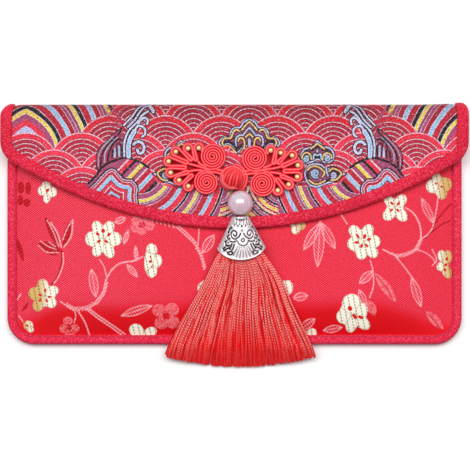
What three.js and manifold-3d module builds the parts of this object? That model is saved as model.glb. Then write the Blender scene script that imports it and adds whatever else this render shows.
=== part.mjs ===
// A flat silk gift envelope lying on its back: a bound brocade pouch with a bound fold-over flap,
// a knotted frog fastening with gold beads, and a pearl, a metal cap and a silk tassel hung from it.
// Millimetres. +X runs along the envelope, +Y from its foot to its fold, +Z out of its front.
// The origin is the middle of the back, on the plane that the envelope lies on.
import * as THREE from "three";
import { mergeVertices } from "three/addons/utils/BufferGeometryUtils.js";
import Module from "manifold-3d";

// Cloth, binding tape and the gaps between sewn layers
const cloth = 1.0;
const tape = 1.0;
const slotGap = 0.2;
const layerGap = 0.3;

// Pouch
const pouchHalfWidth = 92.75;
const pouchHalfHeight = 48.9;
const pouchCorner = 11;
const pouchBindingWidth = 3.9;
const pouchBulge = 4.8;
const sideRise = 40;
const footRise = 30;
const mouthY = 38;
const seamY = 40;
const backSink = 5;

// Flap
const flapHalfWidth = 95;
const flapBindingWidth = 4.9;
const flapTipY = -1.8;
const flapBow = 30;
const flapCorner = { run: 5, rise: 6 };
const flapRestGap = 0.4;
const flapEdgeLift = 4.2;

// Frog fastening: strips of folded silk that stand on edge, sewn to the flap
const strip = { width: 0.9, height: 2.4 };
const coilPitch = 1.06;
const coilStart = 0.75;
const coilSides = 7;
const beadRadius = 0.95;
const beadLoop = 1.55;
const innerTurn = 0.56;
const seat = 0.3;

const leftFrog = {
  hub: { x: -14.6, y: 22.9 },
  coils: [
    { x: -8.9, y: 27.9, radius: 5.2 },
    { x: -11.5, y: 16.6, radius: 4.5 },
  ],
  side: -1,
  petals: [
    { angle: 92, reach: 8.2, turnAngle: 112, turnReach: 3.6 },
    { angle: 119, reach: 9.0, turnAngle: 132, turnReach: 4.6 },
    { angle: 145, reach: 11.2, turnAngle: 156, turnReach: 5.2 },
    { angle: 168, reach: 12.2, turnAngle: 179, turnReach: 5.6 },
    { angle: 191, reach: 11.3, turnAngle: 203, turnReach: 4.9 },
    { angle: 214, reach: 9.4, turnAngle: 231, turnReach: 4.3 },
    { angle: 244, reach: 8.9, turnAngle: 0, turnReach: 0 },
  ],
};
const rightFrog = {
  hub: { x: 15.4, y: 21.9 },
  coils: [
    { x: 8.5, y: 26.8, radius: 5.2 },
    { x: 11.1, y: 16.4, radius: 5.1 },
  ],
  side: 1,
  petals: [
    { angle: 91, reach: 8.4, turnAngle: 72, turnReach: 3.6 },
    { angle: 63, reach: 8.4, turnAngle: 50, turnReach: 4.6 },
    { angle: 37, reach: 10.2, turnAngle: 25, turnReach: 5.2 },
    { angle: 12, reach: 10.8, turnAngle: 0, turnReach: 5.6 },
    { angle: -13, reach: 10.6, turnAngle: -26, turnReach: 4.9 },
    { angle: -40, reach: 9.0, turnAngle: -55, turnReach: 4.3 },
    { angle: -71, reach: 8.9, turnAngle: 0, turnReach: 0 },
  ],
};
const knot = { x: -1.0, y: 19.4, radius: 4.9, strand: 1.15, core: 3.8, seatHeight: 4.3 };
const loop = { radius: 4.95, height: 1.9, reach: 7.2 };

// Pendant: pearl, cap and tassel on one cord
const pendantX = 2.3;
const pearl = { y: 8.6, radius: 5.05, bore: 0.85 };
const cord = { radius: 0.6, topY: 15.7, endY: 0.6 };
const cap = {
  topY: 3.2,
  tilt: 5.5,
  wall: 0.9,
  boreHalfWidth: 1.1,
  topHalfWidth: 3.5,
  topHalfDepth: 2.8,
  rimHalfWidth: 12.0,
  rimHalfDepth: 4.4,
  middleLength: 17.4,
  sideLength: 12.8,
};
const relief = { line: 0.34, sink: 0.12 };
const tassel = { locks: 13, apexY: 12.1, reach: 70.2, tipEdge: 30.6, tipDepth: 2.2 };

// Heights worked out from the layers
const pouchEdge = 2 * (cloth + slotGap + tape) + layerGap;
const flapEdge = cloth + 2 * (slotGap + tape);
const backRimZ = tape + slotGap;
const frontRimZ = backRimZ + cloth + layerGap;
const edgeInset = tape + slotGap;
const rimInset = pouchBindingWidth + 0.4;
const frontTopZ = frontRimZ + cloth + pouchBulge;
const flapPlateauZ = frontTopZ + flapRestGap + tape + slotGap;
const flapEdgeZ = pouchEdge + flapEdgeLift;
const flapTopZ = flapPlateauZ + cloth;

const degrees = THREE.MathUtils.degToRad;
const easeOut = (share) => 1 - (1 - THREE.MathUtils.clamp(share, 0, 1)) ** 2;
const smooth = (share) => THREE.MathUtils.smoothstep(share, 0, 1);
const point = (x, y, z) => new THREE.Vector3(x, y, z);

// Materials
const finish = (color, roughness, metalness = 0) =>
  new THREE.MeshStandardMaterial({ color, roughness, metalness });
const floralSilk = finish("#e8405f", 0.5);
const waveSilk = finish("#c4304a", 0.55);
const bindingTape = finish("#cc2f50", 0.8);
const frogSilk = finish("#e63a3e", 0.45);
const goldMetal = finish("#d9b24a", 0.25, 1);
const pearlCoat = finish("#e6dade", 0.2);
const capMetal = finish("#c9c6c8", 0.35, 1);
const tasselSilk = finish("#e5464a", 0.5);

// Closed geometry from corner points and triangles, turned to face outwards
function closedGeometry(points, triangles) {
  let volume = 0;
  const normal = new THREE.Vector3();
  for (const [a, b, c] of triangles) {
    volume += normal.crossVectors(points[b], points[c]).dot(points[a]);
  }
  const facing = volume < 0 ? triangles.map(([a, b, c]) => [a, c, b]) : triangles;
  const geometry = new THREE.BufferGeometry().setFromPoints(points);
  geometry.setIndex(facing.flat());
  geometry.computeVertexNormals();
  return geometry;
}

// A cloth panel from two grids of points, rows by columns, joined round their edge
function panelGeometry(outerRows, innerRows) {
  const rows = outerRows.length;
  const columns = outerRows[0].length;
  const half = rows * columns;
  const at = (row, column) => row * columns + column;
  const triangles = [];
  for (let row = 0; row + 1 < rows; row++) {
    for (let column = 0; column + 1 < columns; column++) {
      const [a, b] = [at(row, column), at(row, column + 1)];
      const [c, d] = [at(row + 1, column + 1), at(row + 1, column)];
      triangles.push([a, b, c], [a, c, d]);
      triangles.push([half + a, half + c, half + b], [half + a, half + d, half + c]);
    }
  }
  const edge = [];
  for (let column = 0; column < columns; column++) edge.push(at(0, column));
  for (let row = 1; row < rows; row++) edge.push(at(row, columns - 1));
  for (let column = columns - 2; column >= 0; column--) edge.push(at(rows - 1, column));
  for (let row = rows - 2; row > 0; row--) edge.push(at(row, 0));
  edge.forEach((a, i) => {
    const b = edge[(i + 1) % edge.length];
    triangles.push([a, half + b, b], [a, half + a, half + b]);
  });
  return closedGeometry([...outerRows.flat(), ...innerRows.flat()], triangles);
}

// A solid through rings of points; section is the ring's outline in the plane, for the end caps
function loftGeometry(rings, section) {
  const sides = section.length;
  const last = (rings.length - 1) * sides;
  const triangles = [];
  for (let ring = 0; ring + 1 < rings.length; ring++) {
    for (let side = 0; side < sides; side++) {
      const a = ring * sides + side;
      const b = ring * sides + ((side + 1) % sides);
      triangles.push([a, b, b + sides], [a, b + sides, a + sides]);
    }
  }
  for (const [a, b, c] of THREE.ShapeUtils.triangulateShape(section, [])) {
    triangles.push([a, c, b], [last + a, last + b, last + c]);
  }
  return closedGeometry(rings.flat(), triangles);
}

// Joining solids
const wasm = await Module();
wasm.setup();

function solidOf(geometry, matrix = new THREE.Matrix4()) {
  const bare = new THREE.BufferGeometry();
  bare.setAttribute("position", geometry.getAttribute("position").clone());
  if (geometry.index) bare.setIndex(geometry.index.clone());
  const merged = mergeVertices(bare.applyMatrix4(matrix), 1e-4);
  const vertProperties = new Float32Array(merged.attributes.position.array);
  const triVerts = new Uint32Array(merged.index.array);
  return new wasm.Manifold(new wasm.Mesh({ numProp: 3, vertProperties, triVerts }));
}

function fusedGeometry(solids) {
  const fused = solids.reduce((whole, solid) => whole.add(solid)).simplify(0.04);
  const { numProp, vertProperties, triVerts } = fused.getMesh();
  const points = [];
  for (let i = 0; i < vertProperties.length; i += numProp) {
    points.push(point(vertProperties[i], vertProperties[i + 1], vertProperties[i + 2]));
  }
  const geometry = new THREE.BufferGeometry().setFromPoints(points);
  geometry.setIndex(Array.from(triVerts));
  geometry.computeVertexNormals();
  return geometry;
}

const part = new THREE.Group();

function addMesh(name, geometry, material, parent = part) {
  const mesh = new THREE.Mesh(geometry, material);
  mesh.name = name;
  parent.add(mesh);
  return mesh;
}

// How far the pouch front stands out, from 0 at the binding to 1 in the middle
const acrossCrown = (x) => easeOut((pouchHalfWidth - rimInset - Math.abs(x)) / sideRise);
const footCrown = (y) => easeOut((y + pouchHalfHeight - rimInset) / footRise);
const frontZ = (x, y) => frontRimZ + pouchBulge * acrossCrown(x) * footCrown(y);

// How far the back sinks from its bound rim to the surface that it lies on
function backZ(x, y) {
  const side = smooth((pouchHalfWidth - rimInset - Math.abs(x)) / backSink);
  const foot = smooth((y + pouchHalfHeight - rimInset) / backSink);
  const head = smooth((seamY - y) / backSink);
  return backRimZ * (1 - side * foot * head);
}

// Rows of a pouch panel: the rounded foot corners, then the rises above them
function pouchPanel(topY, floorZ, rises) {
  const halfWidth = pouchHalfWidth - edgeInset;
  const foot = -pouchHalfHeight + edgeInset;
  const corner = pouchCorner - edgeInset;
  const cornerSteps = 4;
  const rows = [];
  for (let step = 0; step <= cornerSteps; step++) {
    const angle = (step / cornerSteps) * (Math.PI / 2);
    rows.push({
      y: foot + corner * (1 - Math.cos(angle)),
      halfWidth: halfWidth - corner * (1 - Math.sin(angle)),
    });
  }
  for (const rise of rises) rows.push({ y: foot + rise, halfWidth });
  rows.push({ y: topY, halfWidth });
  const shares = [0, 0.28, 0.5, 0.66, 0.78, 0.87, 0.93, 0.966, 1];
  const columns = [...shares.slice(1).reverse().map((share) => -share), ...shares];
  const grid = (lift) =>
    rows.map((row) =>
      columns.map((share) => {
        const x = row.halfWidth * share;
        return point(x, row.y, floorZ(x, row.y) + lift);
      }),
    );
  return panelGeometry(grid(cloth), grid(0));
}

// A binding's outline: a tape folded round an edge, open towards the cloth
function tapeSection(width, height) {
  const half = height / 2;
  const round = 0.8;
  return [
    [round, -half],
    [width, -half],
    [width, tape - half],
    [tape, tape - half],
    [tape, half - tape],
    [width, half - tape],
    [width, half],
    [round, half],
    [0, half - round],
    [0, round - half],
  ].map(([inward, lift]) => new THREE.Vector2(inward, lift));
}

function pouchBinding() {
  const section = tapeSection(pouchBindingWidth, pouchEdge);
  const stations = [];
  const cornerSteps = 5;
  const straight = (x, y, inX, inY) => stations.push({ x, y, inX, inY });
  const topY = seamY - layerGap / 2;
  for (const side of [-1, 1]) {
    const centreX = side * (pouchHalfWidth - pouchCorner);
    const centreY = pouchCorner - pouchHalfHeight;
    const turn = [];
    for (let step = 0; step <= cornerSteps; step++) {
      const angle = (step / cornerSteps) * (Math.PI / 2);
      const out = { x: side * Math.cos(angle), y: -Math.sin(angle) };
      turn.push({
        x: centreX + pouchCorner * out.x,
        y: centreY + pouchCorner * out.y,
        inX: -out.x,
        inY: -out.y,
      });
    }
    if (side < 0) {
      straight(-pouchHalfWidth, topY, 1, 0);
      stations.push(...turn);
    } else {
      stations.push(...turn.reverse());
      straight(pouchHalfWidth, topY, -1, 0);
    }
  }
  const rings = stations.map((at) =>
    section.map((corner) =>
      point(at.x + at.inX * corner.x, at.y + at.inY * corner.x, pouchEdge / 2 + corner.y),
    ),
  );
  return loftGeometry(rings, section);
}

// The flap's middle surface: flat in front, a half turn over the head, and a short lap behind
const flapZ = (x) => {
  const crown = acrossCrown(x);
  return flapEdgeZ + (flapPlateauZ - flapEdgeZ) * crown + cloth / 2;
};
const lapZ = backRimZ + cloth / 2;
const foldRadius = (x) => (flapZ(x) - lapZ) / 2;
const foldCentreY = (x) => pouchHalfHeight - flapEdge / 2 - foldRadius(x);
const onFront = (x, y, lift) => point(x, y, flapZ(x) + lift);
const onLap = (x, y, lift) => point(x, y, lapZ - lift);
function onFold(x, turn, lift) {
  const angle = turn * Math.PI;
  const radius = foldRadius(x) + lift;
  const middleZ = lapZ + foldRadius(x);
  return point(x, foldCentreY(x) + radius * Math.sin(angle), middleZ + radius * Math.cos(angle));
}
const foldSteps = 6;
const foldTurns = Array.from({ length: foldSteps + 1 }, (_, step) => step / foldSteps);

// The flap's outer edge in front, from the left side round the bow to the right side
function flapEdgeStations() {
  const bowY = (x) => flapTipY + flapBow * (x / flapHalfWidth) ** 2;
  const bowEnd = flapHalfWidth - flapCorner.run;
  const cornerFoot = new THREE.Vector2(bowEnd, bowY(bowEnd));
  const cornerHead = new THREE.Vector2(flapHalfWidth, bowY(flapHalfWidth) + flapCorner.rise);
  const cornerTip = new THREE.Vector2(flapHalfWidth, bowY(flapHalfWidth));
  const corner = new THREE.QuadraticBezierCurve(cornerFoot, cornerTip, cornerHead);
  const cornerSteps = 5;
  const bowSteps = 7;
  const right = [];
  for (let step = 0; step < bowSteps; step++) {
    const x = (step / bowSteps) * bowEnd;
    const slope = (2 * flapBow * x) / flapHalfWidth ** 2;
    const length = Math.hypot(1, slope);
    right.push({ x, y: bowY(x), inX: -slope / length, inY: 1 / length });
  }
  for (let step = 0; step <= cornerSteps; step++) {
    const at = corner.getPoint(step / cornerSteps);
    const along = corner.getTangent(step / cornerSteps);
    right.push({ x: at.x, y: at.y, inX: -along.y, inY: along.x });
  }
  const left = right.slice(1).map((at) => ({ ...at, x: -at.x, inX: -at.inX }));
  return [...left.reverse(), ...right];
}

function flapPanel() {
  const edges = flapEdgeStations().map((at) => ({
    x: at.x + at.inX * edgeInset,
    y: at.y + at.inY * edgeInset,
  }));
  const surface = (lift) => [
    edges.map((at) => onLap(at.x, seamY + layerGap, lift)),
    ...[...foldTurns].reverse().map((turn) => edges.map((at) => onFold(at.x, turn, lift))),
    edges.map((at) => onFront(at.x, at.y, lift)),
  ];
  return panelGeometry(surface(cloth / 2), surface(-cloth / 2));
}

function flapBinding() {
  const section = tapeSection(flapBindingWidth, flapEdge);
  const rings = [];
  const sideRings = (side) => {
    const across = (corner) => side * (flapHalfWidth - corner.x);
    const lapY = seamY + layerGap / 2;
    return [
      section.map((corner) => onLap(across(corner), lapY, corner.y)),
      ...[...foldTurns]
        .reverse()
        .map((turn) => section.map((corner) => onFold(across(corner), turn, corner.y))),
    ];
  };
  rings.push(...sideRings(-1));
  for (const at of flapEdgeStations()) {
    rings.push(
      section.map((corner) =>
        onFront(at.x + at.inX * corner.x, at.y + at.inY * corner.x, corner.y),
      ),
    );
  }
  rings.push(...sideRings(1).reverse());
  return loftGeometry(rings, section);
}

// A silk strip that stands on edge along a plan path
function stripGeometry(path, height = strip.height, width = strip.width) {
  const side = (sign) =>
    path.map((at, i) => {
      const before = path[Math.max(i - 1, 0)];
      const after = path[Math.min(i + 1, path.length - 1)];
      const along = new THREE.Vector2().subVectors(after, before).normalize();
      return new THREE.Vector2(
        at.x - (sign * along.y * width) / 2,
        at.y + (sign * along.x * width) / 2,
      );
    });
  const shape = new THREE.Shape([...side(1), ...side(-1).reverse()]);
  return new THREE.ExtrudeGeometry(shape, { depth: height, bevelEnabled: false });
}

// Points round a circle, from one angle to another the way that turn says
function arcPoints(centre, radius, from, to, turn, step = degrees(24)) {
  let sweep = (to - from) * turn;
  while (sweep < 0) sweep += 2 * Math.PI;
  const count = Math.max(1, Math.ceil(sweep / step));
  return Array.from({ length: count + 1 }, (_, i) => {
    const angle = from + (turn * sweep * i) / count;
    return new THREE.Vector2(
      centre.x + radius * Math.cos(angle),
      centre.y + radius * Math.sin(angle),
    );
  });
}

// The angle at which a straight run crosses over from one circle to the next, the other way round
function crossingAngle(a, b, turn) {
  const between = Math.hypot(b.x - a.x, b.y - a.y);
  const bearing = Math.atan2(b.y - a.y, b.x - a.x);
  return bearing - turn * Math.acos((a.radius + b.radius) / between);
}

// Two coils in one strip: it unwinds from the first, crosses over and winds into the second
function scrollPath(coils, turn) {
  const [first, second] = coils.map((coil) => ({ ...coil, radius: coil.radius - strip.width / 2 }));
  const spiral = (coil, endAngle, way) => {
    const turns = (coil.radius - coilStart) / coilPitch;
    const step = Math.PI / coilSides;
    const count = Math.floor((turns * 2 * Math.PI) / step);
    return Array.from({ length: count + 1 }, (_, i) => {
      const back = (count - i) * step;
      const radius = coil.radius - (coilPitch * back) / (2 * Math.PI);
      const angle = endAngle - way * back;
      return new THREE.Vector2(
        coil.x + radius * Math.cos(angle),
        coil.y + radius * Math.sin(angle),
      );
    });
  };
  const leave = crossingAngle(first, second, turn);
  const arrive = leave + Math.PI;
  return [...spiral(first, leave, turn), ...spiral(second, arrive, turn).reverse()];
}

// Where a frog's gold beads sit
const beadPlaces = ({ hub, petals }) =>
  petals.map(({ angle, reach }) => ({
    x: hub.x + reach * Math.cos(degrees(angle)),
    y: hub.y + reach * Math.sin(degrees(angle)),
  }));

// One strip that loops round each bead and turns back between them, near the hub
function petalPath({ hub, petals, side }) {
  const circles = [];
  beadPlaces({ hub, petals }).forEach((bead, i) => {
    circles.push({ ...bead, radius: beadLoop, turn: -side });
    const { turnAngle, turnReach } = petals[i];
    if (i + 1 < petals.length) {
      circles.push({
        x: hub.x + turnReach * Math.cos(degrees(turnAngle)),
        y: hub.y + turnReach * Math.sin(degrees(turnAngle)),
        radius: innerTurn,
        turn: side,
      });
    }
  });
  const path = [];
  circles.forEach((circle, i) => {
    const next = circles[i + 1];
    const previous = circles[i - 1];
    const leave = next ? crossingAngle(circle, next, circle.turn) : null;
    const enter = previous ? crossingAngle(previous, circle, previous.turn) + Math.PI : null;
    const freeTurn = degrees(205) * circle.turn;
    path.push(
      ...arcPoints(
        circle,
        circle.radius,
        enter ?? leave - freeTurn,
        leave ?? enter + freeTurn,
        circle.turn,
        circle.radius > innerTurn ? degrees(32) : degrees(60),
      ),
    );
  });
  return path;
}

function addFrog(name, frog) {
  const group = new THREE.Group();
  group.position.z = flapTopZ + seat;
  part.add(group);
  addMesh(`${name}_scroll`, stripGeometry(scrollPath(frog.coils, frog.side)), frogSilk, group);
  addMesh(`${name}_petals`, stripGeometry(petalPath(frog)), frogSilk, group);
  beadPlaces(frog).forEach((bead, i) => {
    const sphere = new THREE.SphereGeometry(beadRadius, 10, 5);
    const mesh = addMesh(`${name}_bead_${i + 1}`, sphere, goldMetal, group);
    mesh.position.set(bead.x, bead.y, beadRadius);
  });
}

// The knot that buttons the frog: a ball of strands wound over a core
function knotGeometry() {
  const strands = 4;
  const solids = [solidOf(new THREE.SphereGeometry(knot.core, 12, 8))];
  for (let i = 0; i < strands; i++) {
    const ring = new THREE.TorusGeometry(knot.radius - knot.strand, knot.strand, 5, 12);
    const lean = new THREE.Euler(degrees(58), 0, degrees(45) + (i * 2 * Math.PI) / strands, "ZXY");
    solids.push(solidOf(ring, new THREE.Matrix4().makeRotationFromEuler(lean)));
  }
  return fusedGeometry(solids);
}

// The loop that holds the knot: round its left side, with both ends sewn on the right
function loopPath() {
  const ends = [1, -1].map((sign) => new THREE.Vector2(knot.x + loop.reach, knot.y + sign * 1.2));
  const round = arcPoints(knot, loop.radius, degrees(42), degrees(318), 1, degrees(20));
  return [ends[0], ...round, ends[1]];
}

// The cap's wall: an oval cone with a bowed rim; angle 0 is its right side, lift is outwards
function capPoint(angle, share, lift) {
  const length = THREE.MathUtils.lerp(cap.sideLength, cap.middleLength, Math.abs(Math.sin(angle)) ** 1.3);
  const fall = (share * length) / cap.middleLength;
  const halfWidth = THREE.MathUtils.lerp(cap.topHalfWidth, cap.rimHalfWidth, fall) + lift;
  const halfDepth = THREE.MathUtils.lerp(cap.topHalfDepth, cap.rimHalfDepth, fall) + lift;
  return point(halfWidth * Math.cos(angle), -share * length, halfDepth * Math.sin(angle));
}

function capShell() {
  const sides = 20;
  const levels = [0, 0.35, 0.7, 1];
  const ring = (make) =>
    Array.from({ length: sides }, (_, side) => make((side / sides) * 2 * Math.PI));
  const bore = (y) =>
    ring((angle) =>
      point(cap.boreHalfWidth * Math.cos(angle), y, cap.boreHalfWidth * Math.sin(angle)),
    );
  const rings = [
    bore(0),
    ...levels.map((share) => ring((angle) => capPoint(angle, share, 0))),
    ...[...levels].reverse().map((share) =>
      ring((angle) => {
        const at = capPoint(angle, share, -cap.wall);
        return share > 0 ? at : at.setY(-cap.wall);
      }),
    ),
    bore(-cap.wall),
  ];
  const triangles = [];
  rings.forEach((_, i) => {
    const next = (i + 1) % rings.length;
    for (let side = 0; side < sides; side++) {
      const turn = (side + 1) % sides;
      const [a, b] = [i * sides + side, i * sides + turn];
      const [c, d] = [next * sides + turn, next * sides + side];
      triangles.push([a, b, c], [a, c, d]);
    }
  });
  return closedGeometry(rings.flat(), triangles);
}

// A raised line cast on the cap along surface points
function castLine(places, radius = relief.line) {
  const curve = new THREE.CatmullRomCurve3(
    places.map(({ angle, share }) => capPoint(angle, share, -relief.sink)),
  );
  const section = new THREE.Shape(arcPoints({ x: 0, y: 0 }, radius, 0, degrees(270), 1, degrees(90)));
  const steps = places.length - 1;
  return new THREE.ExtrudeGeometry(section, { steps, extrudePath: curve, bevelEnabled: false });
}

// Cast ornament: a pair of scrolls and a fan of ribs below them, on both broad sides
function capRelief() {
  const lines = [];
  for (const face of [1, -1]) {
    const middle = (face * Math.PI) / 2;
    for (const hand of [1, -1]) {
      const scroll = [];
      const steps = 13;
      for (let step = 0; step <= steps; step++) {
        const wind = (step / steps) * degrees(540) - degrees(100);
        const radius = 1 - (0.8 * step) / steps;
        scroll.push({
          angle: middle + hand * (0.52 + 0.34 * radius * Math.cos(wind)),
          share: 0.5 - 0.13 * radius * Math.sin(wind),
        });
      }
      lines.push(castLine(scroll));
    }
    const ribs = 5;
    for (let rib = 0; rib < ribs; rib++) {
      const spread = rib - (ribs - 1) / 2;
      lines.push(
        castLine([
          { angle: middle + spread * 0.15, share: 0.74 },
          { angle: middle + spread * 0.24, share: 0.93 },
        ]),
      );
    }
  }
  return lines;
}

function capGeometry() {
  return fusedGeometry([solidOf(capShell()), ...capRelief().map((line) => solidOf(line))]);
}

// One lock of the tassel, from the head in the cap, over the pouch and its foot, to the cut end
function lockGeometry(lock) {
  const rows = [
    { y: 0.3, edge: 3.1, bottom: 14.3, depth: 3.3, oval: 1 },
    { y: -9.0, edge: 7.7, bottom: 12.6, depth: 5.0, oval: 1 },
    { y: -14.4, edge: 11.4, bottom: 11.5, depth: 5.2, oval: 1 },
    { y: -21.0, edge: 15.2, bottom: 8.6, depth: 5.4, oval: 0.4 },
    { y: -32.0, edge: 20.7, bottom: 7.15, depth: 4.4, oval: 0 },
    { y: -44.2, edge: 26.7, bottom: 5.1, depth: 3.6, oval: 0 },
    { y: -49.4, edge: 29.2, bottom: 5.1, depth: 3.0, oval: 0 },
  ];
  const share = (2 * lock + 1) / tassel.locks - 1;
  const tipX = share * tassel.tipEdge;
  const tipY = tassel.apexY - Math.sqrt(tassel.reach ** 2 - tipX ** 2);
  const hang = rows[rows.length - 1];
  const past = (hang.y - tipY) / (hang.y - tassel.apexY + tassel.reach);
  const bottom = THREE.MathUtils.lerp(hang.bottom, seat, past ** 1.4);
  rows.push({ y: tipY, edge: tassel.tipEdge, bottom, depth: tassel.tipDepth, oval: 0 });
  const ripple = lock % 2 ? 0.3 : 0;
  const section = arcPoints({ x: 0, y: 0 }, 1, 0, degrees(300), 1, degrees(60));
  const rings = rows.map((row) => {
    const x = pendantX + share * row.edge;
    const halfWidth = (1.3 * row.edge) / tassel.locks;
    const halfDepth = (row.depth / 2) * Math.sqrt(1 - 0.95 * row.oval * share ** 2);
    const z = row.bottom + row.depth / 2 + ripple * (1 - row.oval);
    return section.map((corner) =>
      point(x + corner.x * halfWidth, row.y, z + corner.y * halfDepth),
    );
  });
  return loftGeometry(rings, section);
}

function tasselGeometry() {
  const locks = Array.from({ length: tassel.locks }, (_, lock) => solidOf(lockGeometry(lock)));
  return fusedGeometry(locks);
}

// The envelope
addMesh("back_panel", pouchPanel(seamY, backZ, [12, 45, 75, 83]), floralSilk);
addMesh("front_panel", pouchPanel(mouthY, frontZ, [11, 15, 20, 26, 33, 60]), floralSilk);
addMesh("pouch_binding", pouchBinding(), bindingTape);
addMesh("flap", flapPanel(), waveSilk);
addMesh("flap_binding", flapBinding(), bindingTape);

// The frog fastening
addFrog("frog_left", leftFrog);
addFrog("frog_right", rightFrog);
const knotMesh = addMesh("frog_knot", knotGeometry(), frogSilk);
knotMesh.position.set(knot.x, knot.y, flapTopZ + seat + knot.seatHeight);
const loopMesh = addMesh("frog_loop", stripGeometry(loopPath(), loop.height), frogSilk);
loopMesh.position.z = flapTopZ + seat;

// The pendant, whose cord runs level through the pearl
const cordZ = flapTopZ + seat + pearl.radius;
const pearlProfile = arcPoints(
  { x: 0, y: 0 },
  pearl.radius,
  Math.asin(pearl.bore / pearl.radius) - Math.PI / 2,
  Math.PI / 2 - Math.asin(pearl.bore / pearl.radius),
  1,
  degrees(18),
);
const pearlMesh = addMesh(
  "pearl",
  new THREE.LatheGeometry([...pearlProfile, pearlProfile[0]], 16),
  pearlCoat,
);
pearlMesh.position.set(pendantX, pearl.y, cordZ);
const cordLength = cord.topY - cord.endY;
const cordMesh = addMesh(
  "hanging_cord",
  new THREE.CylinderGeometry(cord.radius, cord.radius, cordLength, 8),
  frogSilk,
);
cordMesh.position.set(pendantX, cord.topY - cordLength / 2, cordZ);
const capMesh = addMesh("tassel_cap", capGeometry(), capMetal);
capMesh.position.set(pendantX, cap.topY, cordZ);
capMesh.rotation.x = degrees(cap.tilt);
addMesh("tassel", tasselGeometry(), tasselSilk);

export default part;
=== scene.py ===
import math
import bmesh
import bpy
import numpy as np
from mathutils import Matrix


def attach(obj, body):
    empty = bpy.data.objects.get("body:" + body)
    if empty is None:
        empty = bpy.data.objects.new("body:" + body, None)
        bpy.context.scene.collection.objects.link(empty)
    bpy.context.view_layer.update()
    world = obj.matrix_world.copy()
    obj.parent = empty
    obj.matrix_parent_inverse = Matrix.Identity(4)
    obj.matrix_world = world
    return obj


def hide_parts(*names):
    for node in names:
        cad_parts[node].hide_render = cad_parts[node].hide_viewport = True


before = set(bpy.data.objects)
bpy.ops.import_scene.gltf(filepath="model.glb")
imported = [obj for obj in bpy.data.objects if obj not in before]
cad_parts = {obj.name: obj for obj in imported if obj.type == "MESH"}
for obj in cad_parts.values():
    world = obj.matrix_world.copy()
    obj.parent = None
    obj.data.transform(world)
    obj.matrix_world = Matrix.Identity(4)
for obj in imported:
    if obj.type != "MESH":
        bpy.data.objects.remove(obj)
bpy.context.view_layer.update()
print("frame loaded:", len(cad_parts), "nodes")

mm, metre = 0.001, 1000.0  # a millimetre in metres, and a metre in millimetres
rng = np.random.default_rng(7)

# The cloths are drawn on squared paper: one square in mm, the square at the origin,
# and the line about which the flap's waves are mirrored
draft = {"square": 0.406, "middleX": 234.5, "middleY": 224.5, "mirrorX": 249.3}


# camera and light

studio = {
    "cameraHeight": 0.91, "viewWidth": 0.1908, "viewX": 0.0002, "viewY": -0.00426, "viewZ": 0.008,
    "sensor": 36.0, "worldLight": 0.29,
    "lightPlace": (-0.05, 0.62, 1.9), "lightWidth": 2.3, "lightDepth": 0.9, "lightWatts": 41.0,
}


def setStudio():
    s = studio
    scene = bpy.context.scene
    scene.view_settings.view_transform = "Standard"
    cameraData = bpy.data.cameras.new("camera")
    cameraData.sensor_width = s["sensor"]
    cameraData.lens = s["sensor"] * (s["cameraHeight"] - s["viewZ"]) / s["viewWidth"]
    camera = bpy.data.objects.new("camera", cameraData)
    camera.location = (s["viewX"], s["viewY"], s["cameraHeight"])
    lightData = bpy.data.lights.new("softbox", "AREA")
    lightData.shape = "RECTANGLE"
    lightData.size, lightData.size_y, lightData.energy = s["lightWidth"], s["lightDepth"], s["lightWatts"]
    light = bpy.data.objects.new("softbox", lightData)
    light.location = s["lightPlace"]
    aim = -np.array(s["lightPlace"]) / np.linalg.norm(s["lightPlace"])
    light.rotation_euler = (math.acos(-aim[2]), 0, math.atan2(-aim[0], aim[1]))
    for thing in (camera, light):
        scene.collection.objects.link(thing)
    scene.camera = camera
    scene.world = bpy.data.worlds.new("studio")
    scene.world.use_nodes = True
    sky = scene.world.node_tree.nodes["Background"].inputs
    sky["Strength"].default_value, sky["Color"].default_value = s["worldLight"], (1, 1, 1, 1)


setStudio()
print("camera and light set")


# shader maths

def dye(color):  # a swatch's colour made linear; any other value stays
    if not isinstance(color, str):
        return color
    parts = [int(color[i:i + 2], 16) / 255 for i in (1, 3, 5)]
    return tuple(c / 12.92 if c < 0.04045 else ((c + 0.055) / 1.055) ** 2.4 for c in parts) + (1.0,)


class Value:
    def __init__(self, paint, socket):
        self.paint, self.socket = paint, socket

    def maths(self, operation, *others):
        return self.paint.node("ShaderNodeMath", {"operation": operation}, dict(enumerate((self, *others))))

    def __add__(self, other): return self.maths("ADD", other)
    def __radd__(self, other): return self.maths("ADD", other)
    def __sub__(self, other): return self.maths("SUBTRACT", other)
    def __rsub__(self, other): return self.maths("MULTIPLY", -1.0) + other
    def __mul__(self, other): return self.maths("MULTIPLY", other)
    def __rmul__(self, other): return self.maths("MULTIPLY", other)
    def __truediv__(self, other): return self.maths("DIVIDE", other)
    def __mod__(self, other): return self.maths("FLOORED_MODULO", other)
    def __gt__(self, other): return self.maths("GREATER_THAN", other)
    def __lt__(self, other): return self.maths("LESS_THAN", other)
    def __abs__(self): return self.maths("ABSOLUTE")
    def floor(self): return self.maths("FLOOR")
    def sine(self): return self.maths("SINE")
    def root(self): return self.maths("SQRT")
    def most(self, other): return self.maths("MAXIMUM", other)

    def rise(self, low, high):  # 0 below low, 1 above high, eased between
        return self.paint.node("ShaderNodeMapRange", {"interpolation_type": "SMOOTHSTEP"},
                               {"Value": self, "From Min": low, "From Max": high})

    def fall(self, low, high):  # 1 below low, 0 above high
        return 1.0 - self.rise(low, high)

    def wave(self, pitch):  # swings between 0 and 1
        return (self * (2 * math.pi / pitch)).sine() * 0.5 + 0.5


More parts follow.
